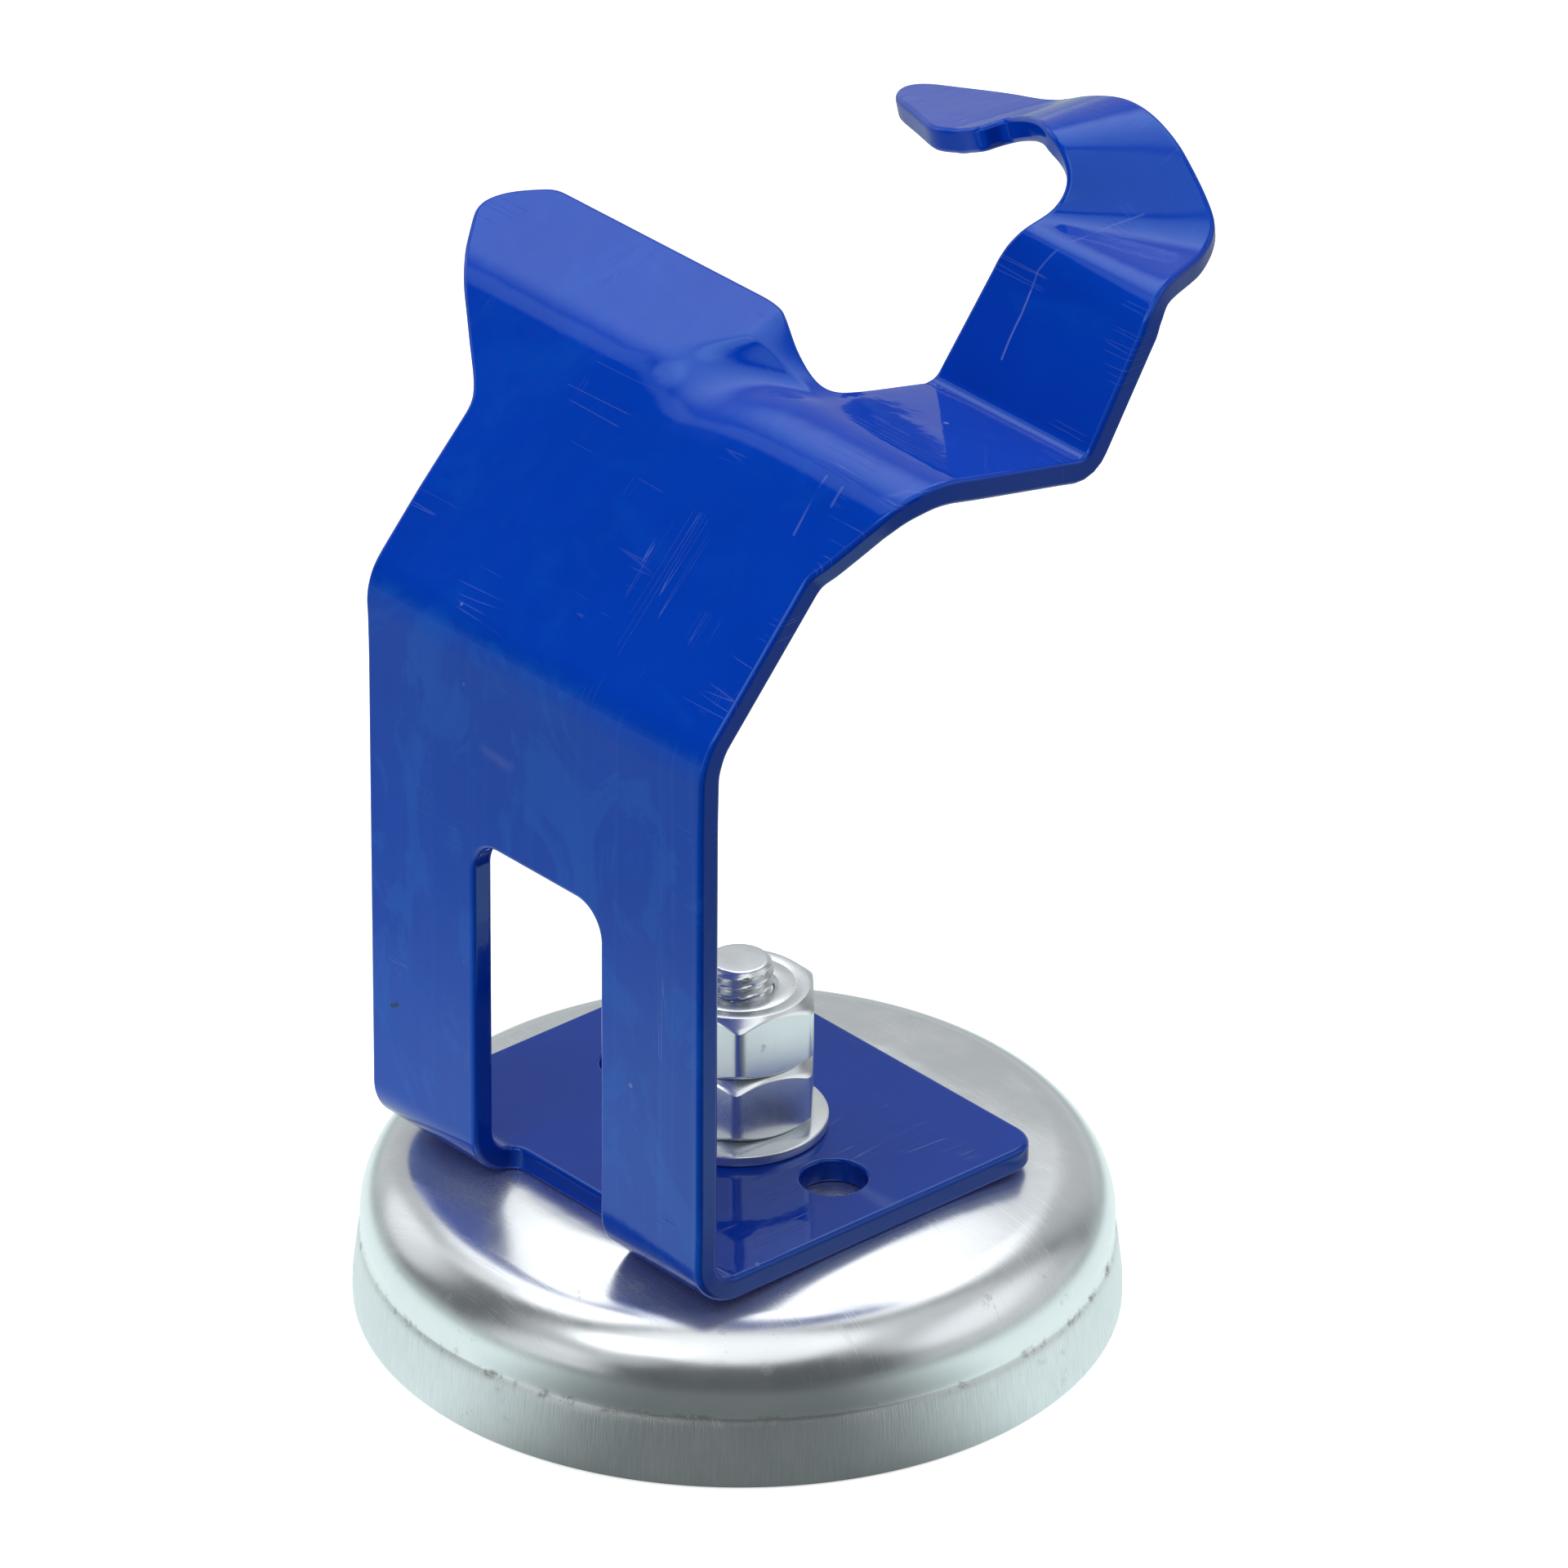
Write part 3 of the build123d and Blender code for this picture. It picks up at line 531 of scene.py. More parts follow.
def fit(ob, piece, carrier, slot):
    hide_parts(piece)
    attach(ob, carrier)
    parts.append((ob, slot))
    slot_of[piece] = slot


# openings run the other way round from the outer edge
sheet_loops = [(bracket_outline(), OUTER_RIM), (window_outline()[::-1], WINDOW_RIM)]
sheet_loops += [(hole_outline(*hole)[::-1], rim) for *hole, rim in PLATE_HOLES]
fit(sheet_mesh("bracket_sheet", sheet_loops), "bracket", "holder", "blue_paint")


# ------------------------------------------------------------------ turned parts, mm
def arc(centre_r, centre_z, radius, start, end, steps):
    angles = np.radians(np.linspace(start, end, steps + 1))
    return [(centre_r + radius * math.cos(a), centre_z + radius * math.sin(a)) for a in angles]


def corner(edge_r, edge_z, radius, start, steps):
    """Quarter round from start degrees, in place of the sharp corner at edge_r, edge_z."""
    middle = math.radians(start + 45)
    return arc(edge_r - math.copysign(radius, math.cos(middle)),
               edge_z - math.copysign(radius, math.sin(middle)), radius, start, start + 90, steps)


def revolve(name, profile_at, segments, sharp, phase=0.0, capped=False):
    """Body about Z. profile_at(angle) lists (radius, z), closed on itself or capped at its ends."""
    verts, faces = [], []
    for i in range(segments):
        angle = 2 * math.pi * i / segments
        cos, sin = math.cos(angle + phase), math.sin(angle + phase)
        verts += [(radius * cos, radius * sin, z) for radius, z in profile_at(angle)]
    rows = len(verts) // segments
    for i in range(segments):
        j = (i + 1) % segments
        for k in range(rows - 1 if capped else rows):
            m = (k + 1) % rows
            faces.append((i * rows + k, j * rows + k, j * rows + m, i * rows + m))
    if capped:
        low = len(verts)
        verts += [(0, 0, verts[0][2]), (0, 0, verts[rows - 1][2])]
        for i in range(segments):
            j = (i + 1) % segments
            faces.append((low, j * rows, i * rows))
            faces.append((low + 1, i * rows + rows - 1, j * rows + rows - 1))
    return make(name, verts, faces, sharp=sharp)


def lathe(name, profile, segments):
    return revolve(name, lambda angle: profile, segments, sharp=28)


def cup_profile():
    """Outside from the rim up to the bore, then back along the inside."""
    outer_r, bore_r, wall = 44.0, 4.07, 1.6
    shoulder_r, centre_r, centre_z = 8.0, 35.1, 10.4
    inner_r, ceiling = outer_r - wall, CUP_TOP - wall
    return (corner(outer_r, 0, 0.5, -90, 5)
            + [(outer_r, 1.6), (43.97, 2.4), (43.62, 5.4), (43.47, 6.7), (43.40, 7.2),
               (43.31, 7.6), (43.19, 7.95), (43.07, 8.25), (42.99, 8.55), (42.96, 8.8)]
            + arc(centre_r, centre_z, shoulder_r, -8, 84, 40)
            + [(35.2, 18.42), (31.5, 18.93), (28.4, 19.36), (27.4, 19.47),
               (26.6, CUP_TOP), (12.0, CUP_TOP)]
            + corner(bore_r, CUP_TOP, 0.35, 90, 4)
            + corner(bore_r, ceiling, 0.3, 180, 3) + [(26.6, ceiling)]
            + arc(centre_r, centre_z, shoulder_r - wall, 84, 0, 30)
            + [(centre_r + shoulder_r - wall, 8.0), (inner_r, 2.2)]
            + corner(inner_r, 0, 0.35, 180, 4))


def ring_profile():
    inner_r, outer_r, bottom = 15.0, 39.0, 0.6
    return (corner(outer_r, bottom, 0.6, -90, 5) + corner(outer_r, 14.7, 2.4, 0, 8)
            + corner(inner_r, 14.9, 0.4, 90, 4) + corner(inner_r, bottom, 0.5, 180, 4))


RESIN_PROFILE = [  # radius, z: fills the gap between ring and cup
    (39.03, 1.75), (39.25, 1.5), (39.9, 1.38), (41.2, 1.42), (41.95, 1.6), (42.3, 1.95),
    (42.34, 2.2), (41.45, 8.0), (41.45, 10.0), (39.03, 10.0),
]


def bush_profile():
    inner_r, outer_r, bottom, top = 8.0, 14.98, 2.0, 17.85
    return (corner(outer_r, bottom, 0.6, -90, 4)
            + [(outer_r, 17.4), (14.6, top), (8.4, top), (inner_r, 17.4)]
            + corner(inner_r, bottom, 0.6, 180, 4))


def washer_profile():
    inner_r, outer_r, bottom, top = 5.25, 10.6, 22.52, 23.88
    return (corner(outer_r, bottom, 0.32, -90, 4) + corner(outer_r, top, 0.22, 0, 4)
            + corner(inner_r, top, 0.3, 90, 4) + corner(inner_r, bottom, 0.2, 180, 3))


fit(lathe("cup_shell", cup_profile(), 360), "magnet_cup", "magnet_base", "zinc_cup")
fit(lathe("ferrite_ring", ring_profile(), 240), "ring_magnet", "magnet_base", "ferrite")
fit(lathe("resin_fill", RESIN_PROFILE, 240), "magnet_resin", "magnet_base", "resin")
fit(lathe("centre_bush_ring", bush_profile(), 192), "centre_bush", "magnet_base", "bush")
washer = lathe("plain_washer", washer_profile(), 192)
WASHER_X, WASHER_Y = -0.85, -0.55       # the washer sits off the axis
washer.data.transform(Matrix.Translation((WASHER_X * MM, WASHER_Y * MM, 0)))
fit(washer, "flat_washer", "washer_carrier", "zinc_hardware")


# ------------------------------------------------------------------ nuts and stud, mm
def hex_radius(angle, flats, limit):
    """Hexagon of this width across flats, its corners eased off towards the limit radius."""
    from_flat = (angle + math.pi / 6) % (math.pi / 3) - math.pi / 6
    radius = flats / 2 / math.cos(from_flat)
    ease = 0.25
    if radius < limit - ease:
        return radius
    return limit - ease + ease * (1 - math.exp(-(radius - limit + ease) / ease))


def hex_nut(name, bottom, turn):
    height, face_r = 8.0, 8.0

    def profile_at(angle):
        edge = hex_radius(angle, flats=16.9, limit=9.60)
        chamfer = max(0.02, (edge - face_r) * 0.80)
        # radius and depth in from the end face, the same at both ends
        bore = [(4.05, 0.5), (4.3, 0.22), (4.5, 0.03), (4.65, 0)]
        rim = [(face_r - 0.12, 0), (face_r + 0.06, 0.02),
               (face_r * 0.4 + edge * 0.6, chamfer * 0.6), (edge - 0.05, chamfer - 0.02),
               (edge, chamfer + 0.07)]
        groove = [(6.75, 0), (6.6, 0.05), (6.4, 0.05), (6.25, 0)]   # top face only
        return ([(radius, bottom + depth) for radius, depth in bore + rim]
                + [(edge, bottom + height / 2)]
                + [(radius, bottom + height - depth)
                   for radius, depth in rim[::-1] + groove + bore[::-1]])

    return revolve(name, profile_at, 240, sharp=24, phase=math.radians(turn))


fit(hex_nut("nut_lower", bottom=23.9, turn=17.0), "lower_nut", "lower_nut_body", "zinc_hardware")
fit(hex_nut("nut_upper", bottom=31.94, turn=19.5), "upper_nut", "upper_nut_body", "zinc_hardware")

STUD_BOTTOM, STUD_NECK, STUD_TOP = 12.6, 17.88, 43.2
THREAD_PITCH, THREAD_MAJOR, THREAD_MINOR = 1.25, 3.96, 3.28
THREAD_START, THREAD_STEP = 18.6, 0.11


def thread_radius(z, angle):
    turn = ((z / THREAD_PITCH) - angle / (2 * math.pi)) % 1.0
    from_crest = abs(turn - 0.5) * 2        # 0 at the crest, 1 at the root
    depth = min(1.0, max(0.0, (from_crest - 0.13) / 0.74))
    radius = THREAD_MAJOR - (THREAD_MAJOR - THREAD_MINOR) * depth
    end_taper = 3.32 + (STUD_TOP - z) * 1.05
    return max(min(radius, end_taper), 3.25)


def threaded_stud():
    """Hexagon head inside the cup and a threaded shank above it."""
    levels, z = [], THREAD_START
    while z < STUD_TOP - 0.02:
        levels.append(z)
        z += THREAD_STEP

    def profile_at(angle):
        edge = hex_radius(angle, flats=12.9, limit=7.35)
        head = [(3.0, STUD_BOTTOM), (6.1, STUD_BOTTOM),
                (6.2 * 0.5 + 0.5 * edge, STUD_BOTTOM + 0.3),
                (edge, STUD_BOTTOM + max(0.05, (edge - 6.1) * 0.5)), (edge, STUD_NECK - 0.15),
                (edge - 0.15, STUD_NECK), (3.8, STUD_NECK), (3.5, STUD_NECK + 0.2)]
        thread = [(thread_radius(z, angle), z) for z in levels]
        return head + thread + [(3.2, STUD_TOP - 0.01), (3.0, STUD_TOP), (1.5, STUD_TOP)]

    return revolve("threaded_stud", profile_at, 96, sharp=40, capped=True)


fit(threaded_stud(), "stud_bolt", "magnet_base", "zinc_hardware")


# ------------------------------------------------------------------ shader nodes
class Nodes:
    """Builds the node tree of a material or world."""

    def __init__(self, owner, output="ShaderNodeOutputMaterial", coordinates="Object"):
        self.owner = owner
        owner.use_nodes = True
        self.tree = owner.node_tree
        self.tree.nodes.clear()
        self.out = self.new(output)
        self.position = self.new("ShaderNodeTexCoord").outputs[coordinates]

    def new(self, kind, **settings):
        node = self.tree.nodes.new(kind)
        for key, value in settings.items():
            setattr(node, key, value)
        return node

    def set(self, socket, value):
        if isinstance(value, bpy.types.NodeSocket):
            self.tree.links.new(value, socket)
        elif socket.type == "RGBA" and len(value) == 3:
            socket.default_value = (*value, 1)
        else:
            socket.default_value = value

    def mapped(self, scale=(1, 1, 1), rot=(0, 0, 0), loc=(0, 0, 0)):
        node = self.new("ShaderNodeMapping")
        for key, value in (("Vector", self.position), ("Scale", scale),
                           ("Rotation", rot), ("Location", loc)):
            self.set(node.inputs[key], value)
        return node.outputs[0]

    def noise(self, scale, detail, rough=0.5, at=None, warp=0.0):
        node = self.new("ShaderNodeTexNoise")
        for key, value in (("Vector", at or self.position), ("Scale", scale), ("Detail", detail),
                           ("Roughness", rough), ("Distortion", warp)):
            self.set(node.inputs[key], value)
        return node.outputs[0]

    def ramp(self, value, lo, hi, start=0.0, end=1.0):
        """Smooth step from start at lo to end at hi."""
        node = self.new("ShaderNodeMapRange", interpolation_type="SMOOTHSTEP")
        for key, item in (("Value", value), ("From Min", lo), ("From Max", hi),
                          ("To Min", start), ("To Max", end)):
            self.set(node.inputs[key], item)
        return node.outputs[0]

    def fade(self, value, lo, hi, end=0.0):
        return self.ramp(value, lo, hi, 1.0, end)

    def math(self, operation, first, second=None):
        node = self.new("ShaderNodeMath", operation=operation)
        self.set(node.inputs[0], first)
        if second is not None:
            self.set(node.inputs[1], second)
        return node.outputs[0]

    def mul(self, value, by):
        return self.math("MULTIPLY", value, by)

    def add(self, first, second):
        return self.math("ADD", first, second)

    def most(self, masks):
        return reduce(lambda first, second: self.math("MAXIMUM", first, second), masks)

    def mix(self, base, over, mask, amount=None):
        """Lays the colour over the base through a mask, weakened by amount."""
        node = self.new("ShaderNodeMix", data_type="RGBA")
        self.set(node.inputs["Factor"], mask if amount is None else self.mul(mask, amount))
        self.set(node.inputs[6], base)
        self.set(node.inputs[7], over)
        return node.outputs[2]

    def vec(self, operation, first, second=None, out="Vector", scale=None):
        node = self.new("ShaderNodeVectorMath", operation=operation)
        self.set(node.inputs[0], first)
        if second is not None:
            self.set(node.inputs[1], second)
        if scale is not None:
            self.set(node.inputs["Scale"], scale)
        return node.outputs[out]

    def stroke(self, flat_points, width):
        """1 on the run through points of the flat sheet, 0 beyond width (mm)."""
        points = [Vector(point) for point in place(*np.array(flat_points).T) * MM]
        width = width * MM
        masks = []
        for start, end in zip(points[:-1], points[1:]):
            leg = end - start
            offset = self.vec("SUBTRACT", self.position, tuple(start))
            part = self.math("DIVIDE", self.vec("DOT_PRODUCT", offset, tuple(leg), "Value"),
                             leg.dot(leg))
            part = self.math("MINIMUM", self.math("MAXIMUM", part, 0.0), 1.0)
            away = self.vec("SUBTRACT", offset, self.vec("SCALE", tuple(leg), scale=part))
            distance = self.vec("LENGTH", away, out="Value")
            masks.append(self.fade(distance, lo=0.35 * width, hi=width))
        return self.most(masks)

    def hairlines(self, directions, shift, width, gate_scale, gate_step, gate_lo, gate_hi):
        """Patchy fine scratches; directions are (rotation, scale) of the stretched noise."""
        masks = []
        for i, (rot, scale) in enumerate(directions):
            at = self.mapped(scale, rot, (i * shift[0], shift[1], 0))
            off_middle = self.math("SUBTRACT", self.noise(scale=1.0, detail=0, at=at), 0.5)
            line = self.fade(self.math("ABSOLUTE", off_middle), lo=0.0, hi=width)
            patches = self.noise(scale=gate_scale + gate_step * i, detail=2,
                                 at=self.mapped(loc=(i * 1.7, 2.0, i)))
            masks.append(self.mul(line, self.ramp(patches, gate_lo, gate_hi)))
        return self.most(masks)

    def bump(self, height, depth, base=None):
        node = self.new("ShaderNodeBump")
        self.set(node.inputs["Distance"], depth)
        self.set(node.inputs["Height"], height)
        if base is not None:
            self.set(node.inputs["Normal"], base)
        return node.outputs[0]

    def axes(self, vector):
        node = self.new("ShaderNodeSeparateXYZ")
        self.set(node.inputs[0], vector)
        return node.outputs

    def bsdf(self, **inputs):
        node = self.new("ShaderNodeBsdfPrincipled")
        for key, value in inputs.items():
            self.set(node.inputs[key.replace("_", " ")], value)
        self.set(self.out.inputs[0], node.outputs[0])
        return node


# ------------------------------------------------------------------ materials
BLUE_DEEP, BLUE_MID, BLUE_SMEAR = (0.0003, 0.041, 0.44), (0.0003, 0.047, 0.485), (0.002, 0.070, 0.50)
# the first colour on the next line lightens the wall as a painted reflection of the floor
BLUE_WALL_REFLECTION, BLUE_STREAK, BLUE_PATCH = (0.002, 0.11, 0.50), (0.010, 0.13, 0.62), (0.006, 0.12, 0.60)
# both colours on the next line are painted shade: for the base plate, where the wall keeps light off
# it, and for the cut edges that face -Y
BLUE_PLATE_SHADE, BLUE_EDGE_SHADE = (0.002, 0.020, 0.20), (0.0003, 0.012, 0.20)
SPECK, HAIRLINE, SCRATCH = (0.30, 0.36, 0.75), (0.22, 0.27, 0.62), (0.20, 0.27, 0.66)
CHIP_DARK = (0.004, 0.005, 0.012)
SCRATCHES = [  # points as run, y, then width (mm) and strength
    ([(34.5, -20.1), (27.1, -20.8)], 0.22, 0.30),
    ([(34.2, -23.0), (31.8, -23.3)], 0.25, 0.25),
    ([(76.6, -14.6), (73.8, -14.7), (70.8, -14.6), (68.4, -14.7)], 0.20, 0.45),
    ([(76.6, -14.6), (79.0, -14.3), (82.2, -14.9), (86.3, -16.0), (91.1, -17.7), (93.7, -21.2)],
     0.22, 0.22),
]
CHIP = [(-52.7, 25.9), (-52.1, 24.8)]   # run, y
PAINT_HAIRS = [  # rotation, scale
    ((0.3, 0.9, 0.4), (900, 22, 22)), ((1.1, -0.5, 1.3), (22, 1100, 18)),
    ((-0.6, 0.3, -0.9), (20, 18, 1000)),
]


def powder_coat():
    mat = Nodes(bpy.data.materials.new("blue_powder_coat"))
    broad = mat.noise(scale=34.0, detail=3, rough=0.55)
    smear = mat.noise(scale=1.0, detail=4, rough=0.6, at=mat.mapped((110, 60, 45)), warp=1.2)
    colour = mat.mix(BLUE_DEEP, BLUE_MID, mat.ramp(broad, lo=0.35, hi=0.65))
    colour = mat.mix(colour, BLUE_SMEAR, mat.ramp(smear, lo=0.52, hi=0.72), amount=0.35)
    # dust specks and pin holes, in a few of the cells
    cells = mat.new("ShaderNodeTexVoronoi")
    mat.set(cells.inputs["Vector"], mat.position)
    mat.set(cells.inputs["Scale"], 260.0)
    chance = mat.math("FRACT", mat.mul(cells.outputs["Color"], by=7.3))
    chosen = mat.ramp(chance, lo=0.955, hi=0.965)
    dot = mat.mul(mat.fade(cells.outputs["Distance"], lo=0.06, hi=0.11), chosen)
    colour = mat.mix(colour, SPECK, dot, amount=0.45)
    hair = mat.hairlines(PAINT_HAIRS, shift=(3.1, 0), width=0.012, gate_scale=55.0, gate_step=9,
                         gate_lo=0.60, gate_hi=0.66)
    colour = mat.mix(colour, HAIRLINE, hair, amount=0.16)
    # long scratches and one chip
    long_scratch = mat.most([mat.mul(mat.stroke(points, width), by=strength)
                             for points, width, strength in SCRATCHES])
    colour = mat.mix(colour, SCRATCH, long_scratch)
    colour = mat.mix(colour, CHIP_DARK, mat.stroke(CHIP, width=0.35))
    # lighter streaks and patches up the wall, the streaks strongest at -Y; the whole wall also gets
    # a painted reflection of the bright floor, and the base plate gets painted shade
    x, y, z = mat.axes(mat.position)
    wall = mat.mul(mat.fade(x, lo=-0.0292, hi=-0.0280), mat.ramp(z, lo=0.020, hi=0.030))
    streak = mat.ramp(mat.noise(scale=1.0, detail=3, rough=0.6, at=mat.mapped((1, 520, 7))),
                      lo=0.50, hi=0.68)
    streak = mat.mul(mat.mul(streak, wall), mat.fade(y, lo=-0.020, hi=-0.008, end=0.25))
    # painted reflection: the whole wall is lightened as if it mirrored the bright floor
    colour = mat.mix(colour, BLUE_WALL_REFLECTION, wall, amount=0.16)
    colour = mat.mix(colour, BLUE_STREAK, streak, amount=0.30)
    patch = mat.noise(scale=1.0, detail=4, rough=0.65, at=mat.mapped((60, 75, 48)), warp=1.6)
    patch = mat.mul(mat.ramp(patch, lo=0.50, hi=0.62), wall)
    colour = mat.mix(colour, BLUE_PATCH, patch, amount=0.30)
    # painted shade: the base plate is darkened where the wall keeps the light off it
    plate = mat.mul(mat.ramp(z, lo=0.0190, hi=0.0215), mat.fade(z, lo=0.0228, hi=0.0240))
    colour = mat.mix(colour, BLUE_PLATE_SHADE, plate, amount=0.55)
    # painted shade: the cut edges that face -Y are darkened to stand in for shade
    normal = mat.axes(mat.new("ShaderNodeNewGeometry").outputs["Normal"])
    colour = mat.mix(colour, BLUE_EDGE_SHADE, mat.ramp(normal[1], lo=-0.95, hi=-0.70, start=0.6, end=0.0))
    peel = mat.bump(mat.noise(scale=420.0, detail=2), depth=0.000018)
    peel = mat.bump(mat.noise(scale=130.0, detail=2), depth=0.00005, base=peel)
    peel = mat.bump(mat.math("SUBTRACT", 1.0, mat.most([hair, dot])), depth=0.00002, base=peel)
    rough = mat.add(mat.ramp(broad, lo=0.3, hi=0.7, start=0.045, end=0.075),
                    mat.mul(mat.most([hair, dot]), by=0.2))
    rough = mat.add(rough, mat.mul(mat.most([streak, patch]), by=0.10))
    mat.bsdf(Base_Color=colour, Roughness=rough, Normal=peel, IOR=1.47,
             Specular_Tint=(0.45, 0.85, 1.0))
    return mat.owner


ZINC_DULL, ZINC_CLEAN, ZINC_GRAIN = (0.72, 0.76, 0.785), (0.79, 0.82, 0.84), (0.50, 0.55, 0.56)
RUST, ZINC_SCRATCH = (0.17, 0.13, 0.08), (0.86, 0.88, 0.86)
ZINC_HAIRS = [  # rotation, scale
    ((0, 0, 0.5), (700, 14, 14)), ((0, 0, 1.9), (700, 14, 14)),
    ((0, 0.2, 2.7), (900, 10, 10)), ((0.1, 0, 1.2), (1000, 12, 12)),
]


def zinc(name, brushed):
    """Zinc plate; brushed adds grain round the cup's skirt and rust in the crease above it."""
    mat = Nodes(bpy.data.materials.new(name))
    cloud = mat.noise(scale=70.0, detail=4, rough=0.6)
    colour = mat.mix(ZINC_DULL, ZINC_CLEAN, mat.ramp(cloud, lo=0.3, hi=0.7))
    rust = mat.mul(mat.ramp(mat.noise(scale=300.0, detail=4, rough=0.7), lo=0.60, hi=0.70),
                   mat.ramp(mat.noise(scale=60.0, detail=3, rough=0.6), lo=0.50, hi=0.62))
    rough = mat.ramp(cloud, lo=0.3, hi=0.7, start=0.19, end=0.28)
    if brushed:
        x, y, z = mat.axes(mat.position)
        around = mat.new("ShaderNodeCombineXYZ")
        mat.set(around.inputs[0], mat.mul(mat.math("ARCTAN2", y, x), by=60.0))
        mat.set(around.inputs[2], mat.mul(z, by=60.0))
        grain = mat.noise(scale=4.0, detail=5, rough=0.65, at=around.outputs[0])
        skirt = mat.fade(z, lo=0.0079, hi=0.0086)
        colour = mat.mix(colour, ZINC_GRAIN,
                         mat.mul(mat.ramp(grain, lo=0.35, hi=0.65), mat.mul(skirt, by=0.35)))
        rough = mat.add(rough, mat.mul(skirt, by=0.16))
        crease = mat.mul(mat.ramp(z, lo=0.0074, hi=0.0083), mat.fade(z, lo=0.0084, hi=0.0092))
        spots = mat.ramp(mat.noise(scale=420.0, detail=4, rough=0.7), lo=0.50, hi=0.68)
        rust = mat.add(mat.mul(rust, by=0.35), mat.mul(crease, spots))
    colour = mat.mix(colour, RUST, rust, amount=0.6 if brushed else 0.3)
    hair = mat.hairlines(ZINC_HAIRS, shift=(5.3, 1.0), width=0.014, gate_scale=45.0, gate_step=8,
                         gate_lo=0.52, gate_hi=0.60)
    hair = mat.mul(hair, by=0.45 if brushed else 0.2)
    colour = mat.mix(colour, ZINC_SCRATCH, hair, amount=0.25)
    rough = mat.add(rough, mat.mul(hair, by=0.12))
    rough = mat.add(rough, mat.mul(rust, by=0.3))
    relief = mat.bump(mat.noise(scale=110.0, detail=3), depth=0.00003 if brushed else 0.00001)
    relief = mat.bump(mat.noise(scale=650.0, detail=2), depth=0.000001, base=relief)
    relief = mat.bump(hair, depth=0.000003, base=relief)
    if brushed:
        relief = mat.bump(mat.mul(grain, skirt), depth=0.00005, base=relief)
    mat.bsdf(Base_Color=colour, Metallic=0.88, Roughness=rough, Normal=relief)
    return mat.owner


def plain(name, dark, light, rough, scale, depth, metal=0.0):
    """Mottled matt material with paler worn patches."""
    mat = Nodes(bpy.data.materials.new(name))
    broad = mat.noise(scale=scale, detail=5, rough=0.62)
    fine = mat.noise(scale=scale * 9, detail=3, rough=0.6)
    wear = mat.ramp(mat.noise(scale=scale * 0.4, detail=4, rough=0.6), lo=0.55, hi=0.7)
    worn = tuple(min(1, 1.8 * value + 0.02) for value in light)
    colour = mat.mix(dark, light, mat.ramp(broad, lo=0.35, hi=0.65))
    colour = mat.mix(colour, worn, wear, amount=0.35)
    mat.bsdf(Base_Color=colour, Metallic=metal,
             Roughness=mat.ramp(fine, lo=0.3, hi=0.7, start=rough - 0.08, end=rough + 0.1),
             Normal=mat.bump(fine, depth, base=mat.bump(broad, depth * 2)))
    return mat.owner


materials = {
    "blue_paint": powder_coat(),
    "zinc_cup": zinc("zinc_plate_cup", brushed=True),
    "zinc_hardware": zinc("zinc_plate_hardware", brushed=False),
    "ferrite": plain("ferrite", dark=(0.035, 0.035, 0.04), light=(0.06, 0.058, 0.06),
                     rough=0.42, scale=160.0, depth=0.00003, metal=0.25),
    "resin": plain("cast_resin", dark=(0.02, 0.02, 0.022), light=(0.035, 0.034, 0.034),
                   rough=0.35, scale=90.0, depth=0.00005),
    "bush": plain("moulded_bush", dark=(0.05, 0.05, 0.055), light=(0.075, 0.075, 0.08),
                  rough=0.5, scale=200.0, depth=0.00003),
}
for ob, slot in parts + [(ob, slot_of[piece]) for piece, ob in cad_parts.items()]:
    ob.data.materials.clear()
    ob.data.materials.append(materials[slot])

# ------------------------------------------------------------------ camera
AZIMUTH, ELEVATION, ROLL = math.radians(-41.66), math.radians(28.95), math.radians(0.37)
CAMERA_BACK, CAMERA_RIGHT, CAMERA_UP = 1.656, 0.00533, 0.05745      # metres from the origin

level_right = Vector((math.cos(AZIMUTH), math.sin(AZIMUTH), 0))
back = Vector((math.sin(AZIMUTH) * math.cos(ELEVATION),
               -math.cos(AZIMUTH) * math.cos(ELEVATION), math.sin(ELEVATION)))
level_up = back.cross(level_right)
right = math.cos(ROLL) * level_right + math.sin(ROLL) * level_up
up = -math.sin(ROLL) * level_right + math.cos(ROLL) * level_up
away = -Vector((back.x, back.y, 0)).normalized()    # level, from the camera to the object

camera = bpy.data.objects.new("camera", bpy.data.cameras.new("camera"))
camera.data.lens, camera.data.sensor_width = 332.57, 36.0
camera.data.clip_start, camera.data.clip_end = 0.05, 50.0
camera_at = CAMERA_BACK * back + CAMERA_RIGHT * right + CAMERA_UP * up
camera.matrix_world = (Matrix.Translation(camera_at)
                       @ Matrix((right, up, back)).transposed().to_4x4())
bpy.context.scene.collection.objects.link(camera)
bpy.context.scene.camera = camera

# ------------------------------------------------------------------ floor
FLOOR_CELLS, FLOOR_HALF, FLOOR_Z = 24, 3.0, -0.00006    # metres
FLOOR_GLOW = 0.50               # emission the camera sees
# glow the object sees, against the cosine of the angle towards the camera
FLOOR_SEEN = dict(lo=0.55, hi=0.97, start=1.05, end=0.15)
FLOOR_FAR = 0.45                # share of that glow away from the object
FLOOR_TINT = (0.90, 1.02, 1.0)


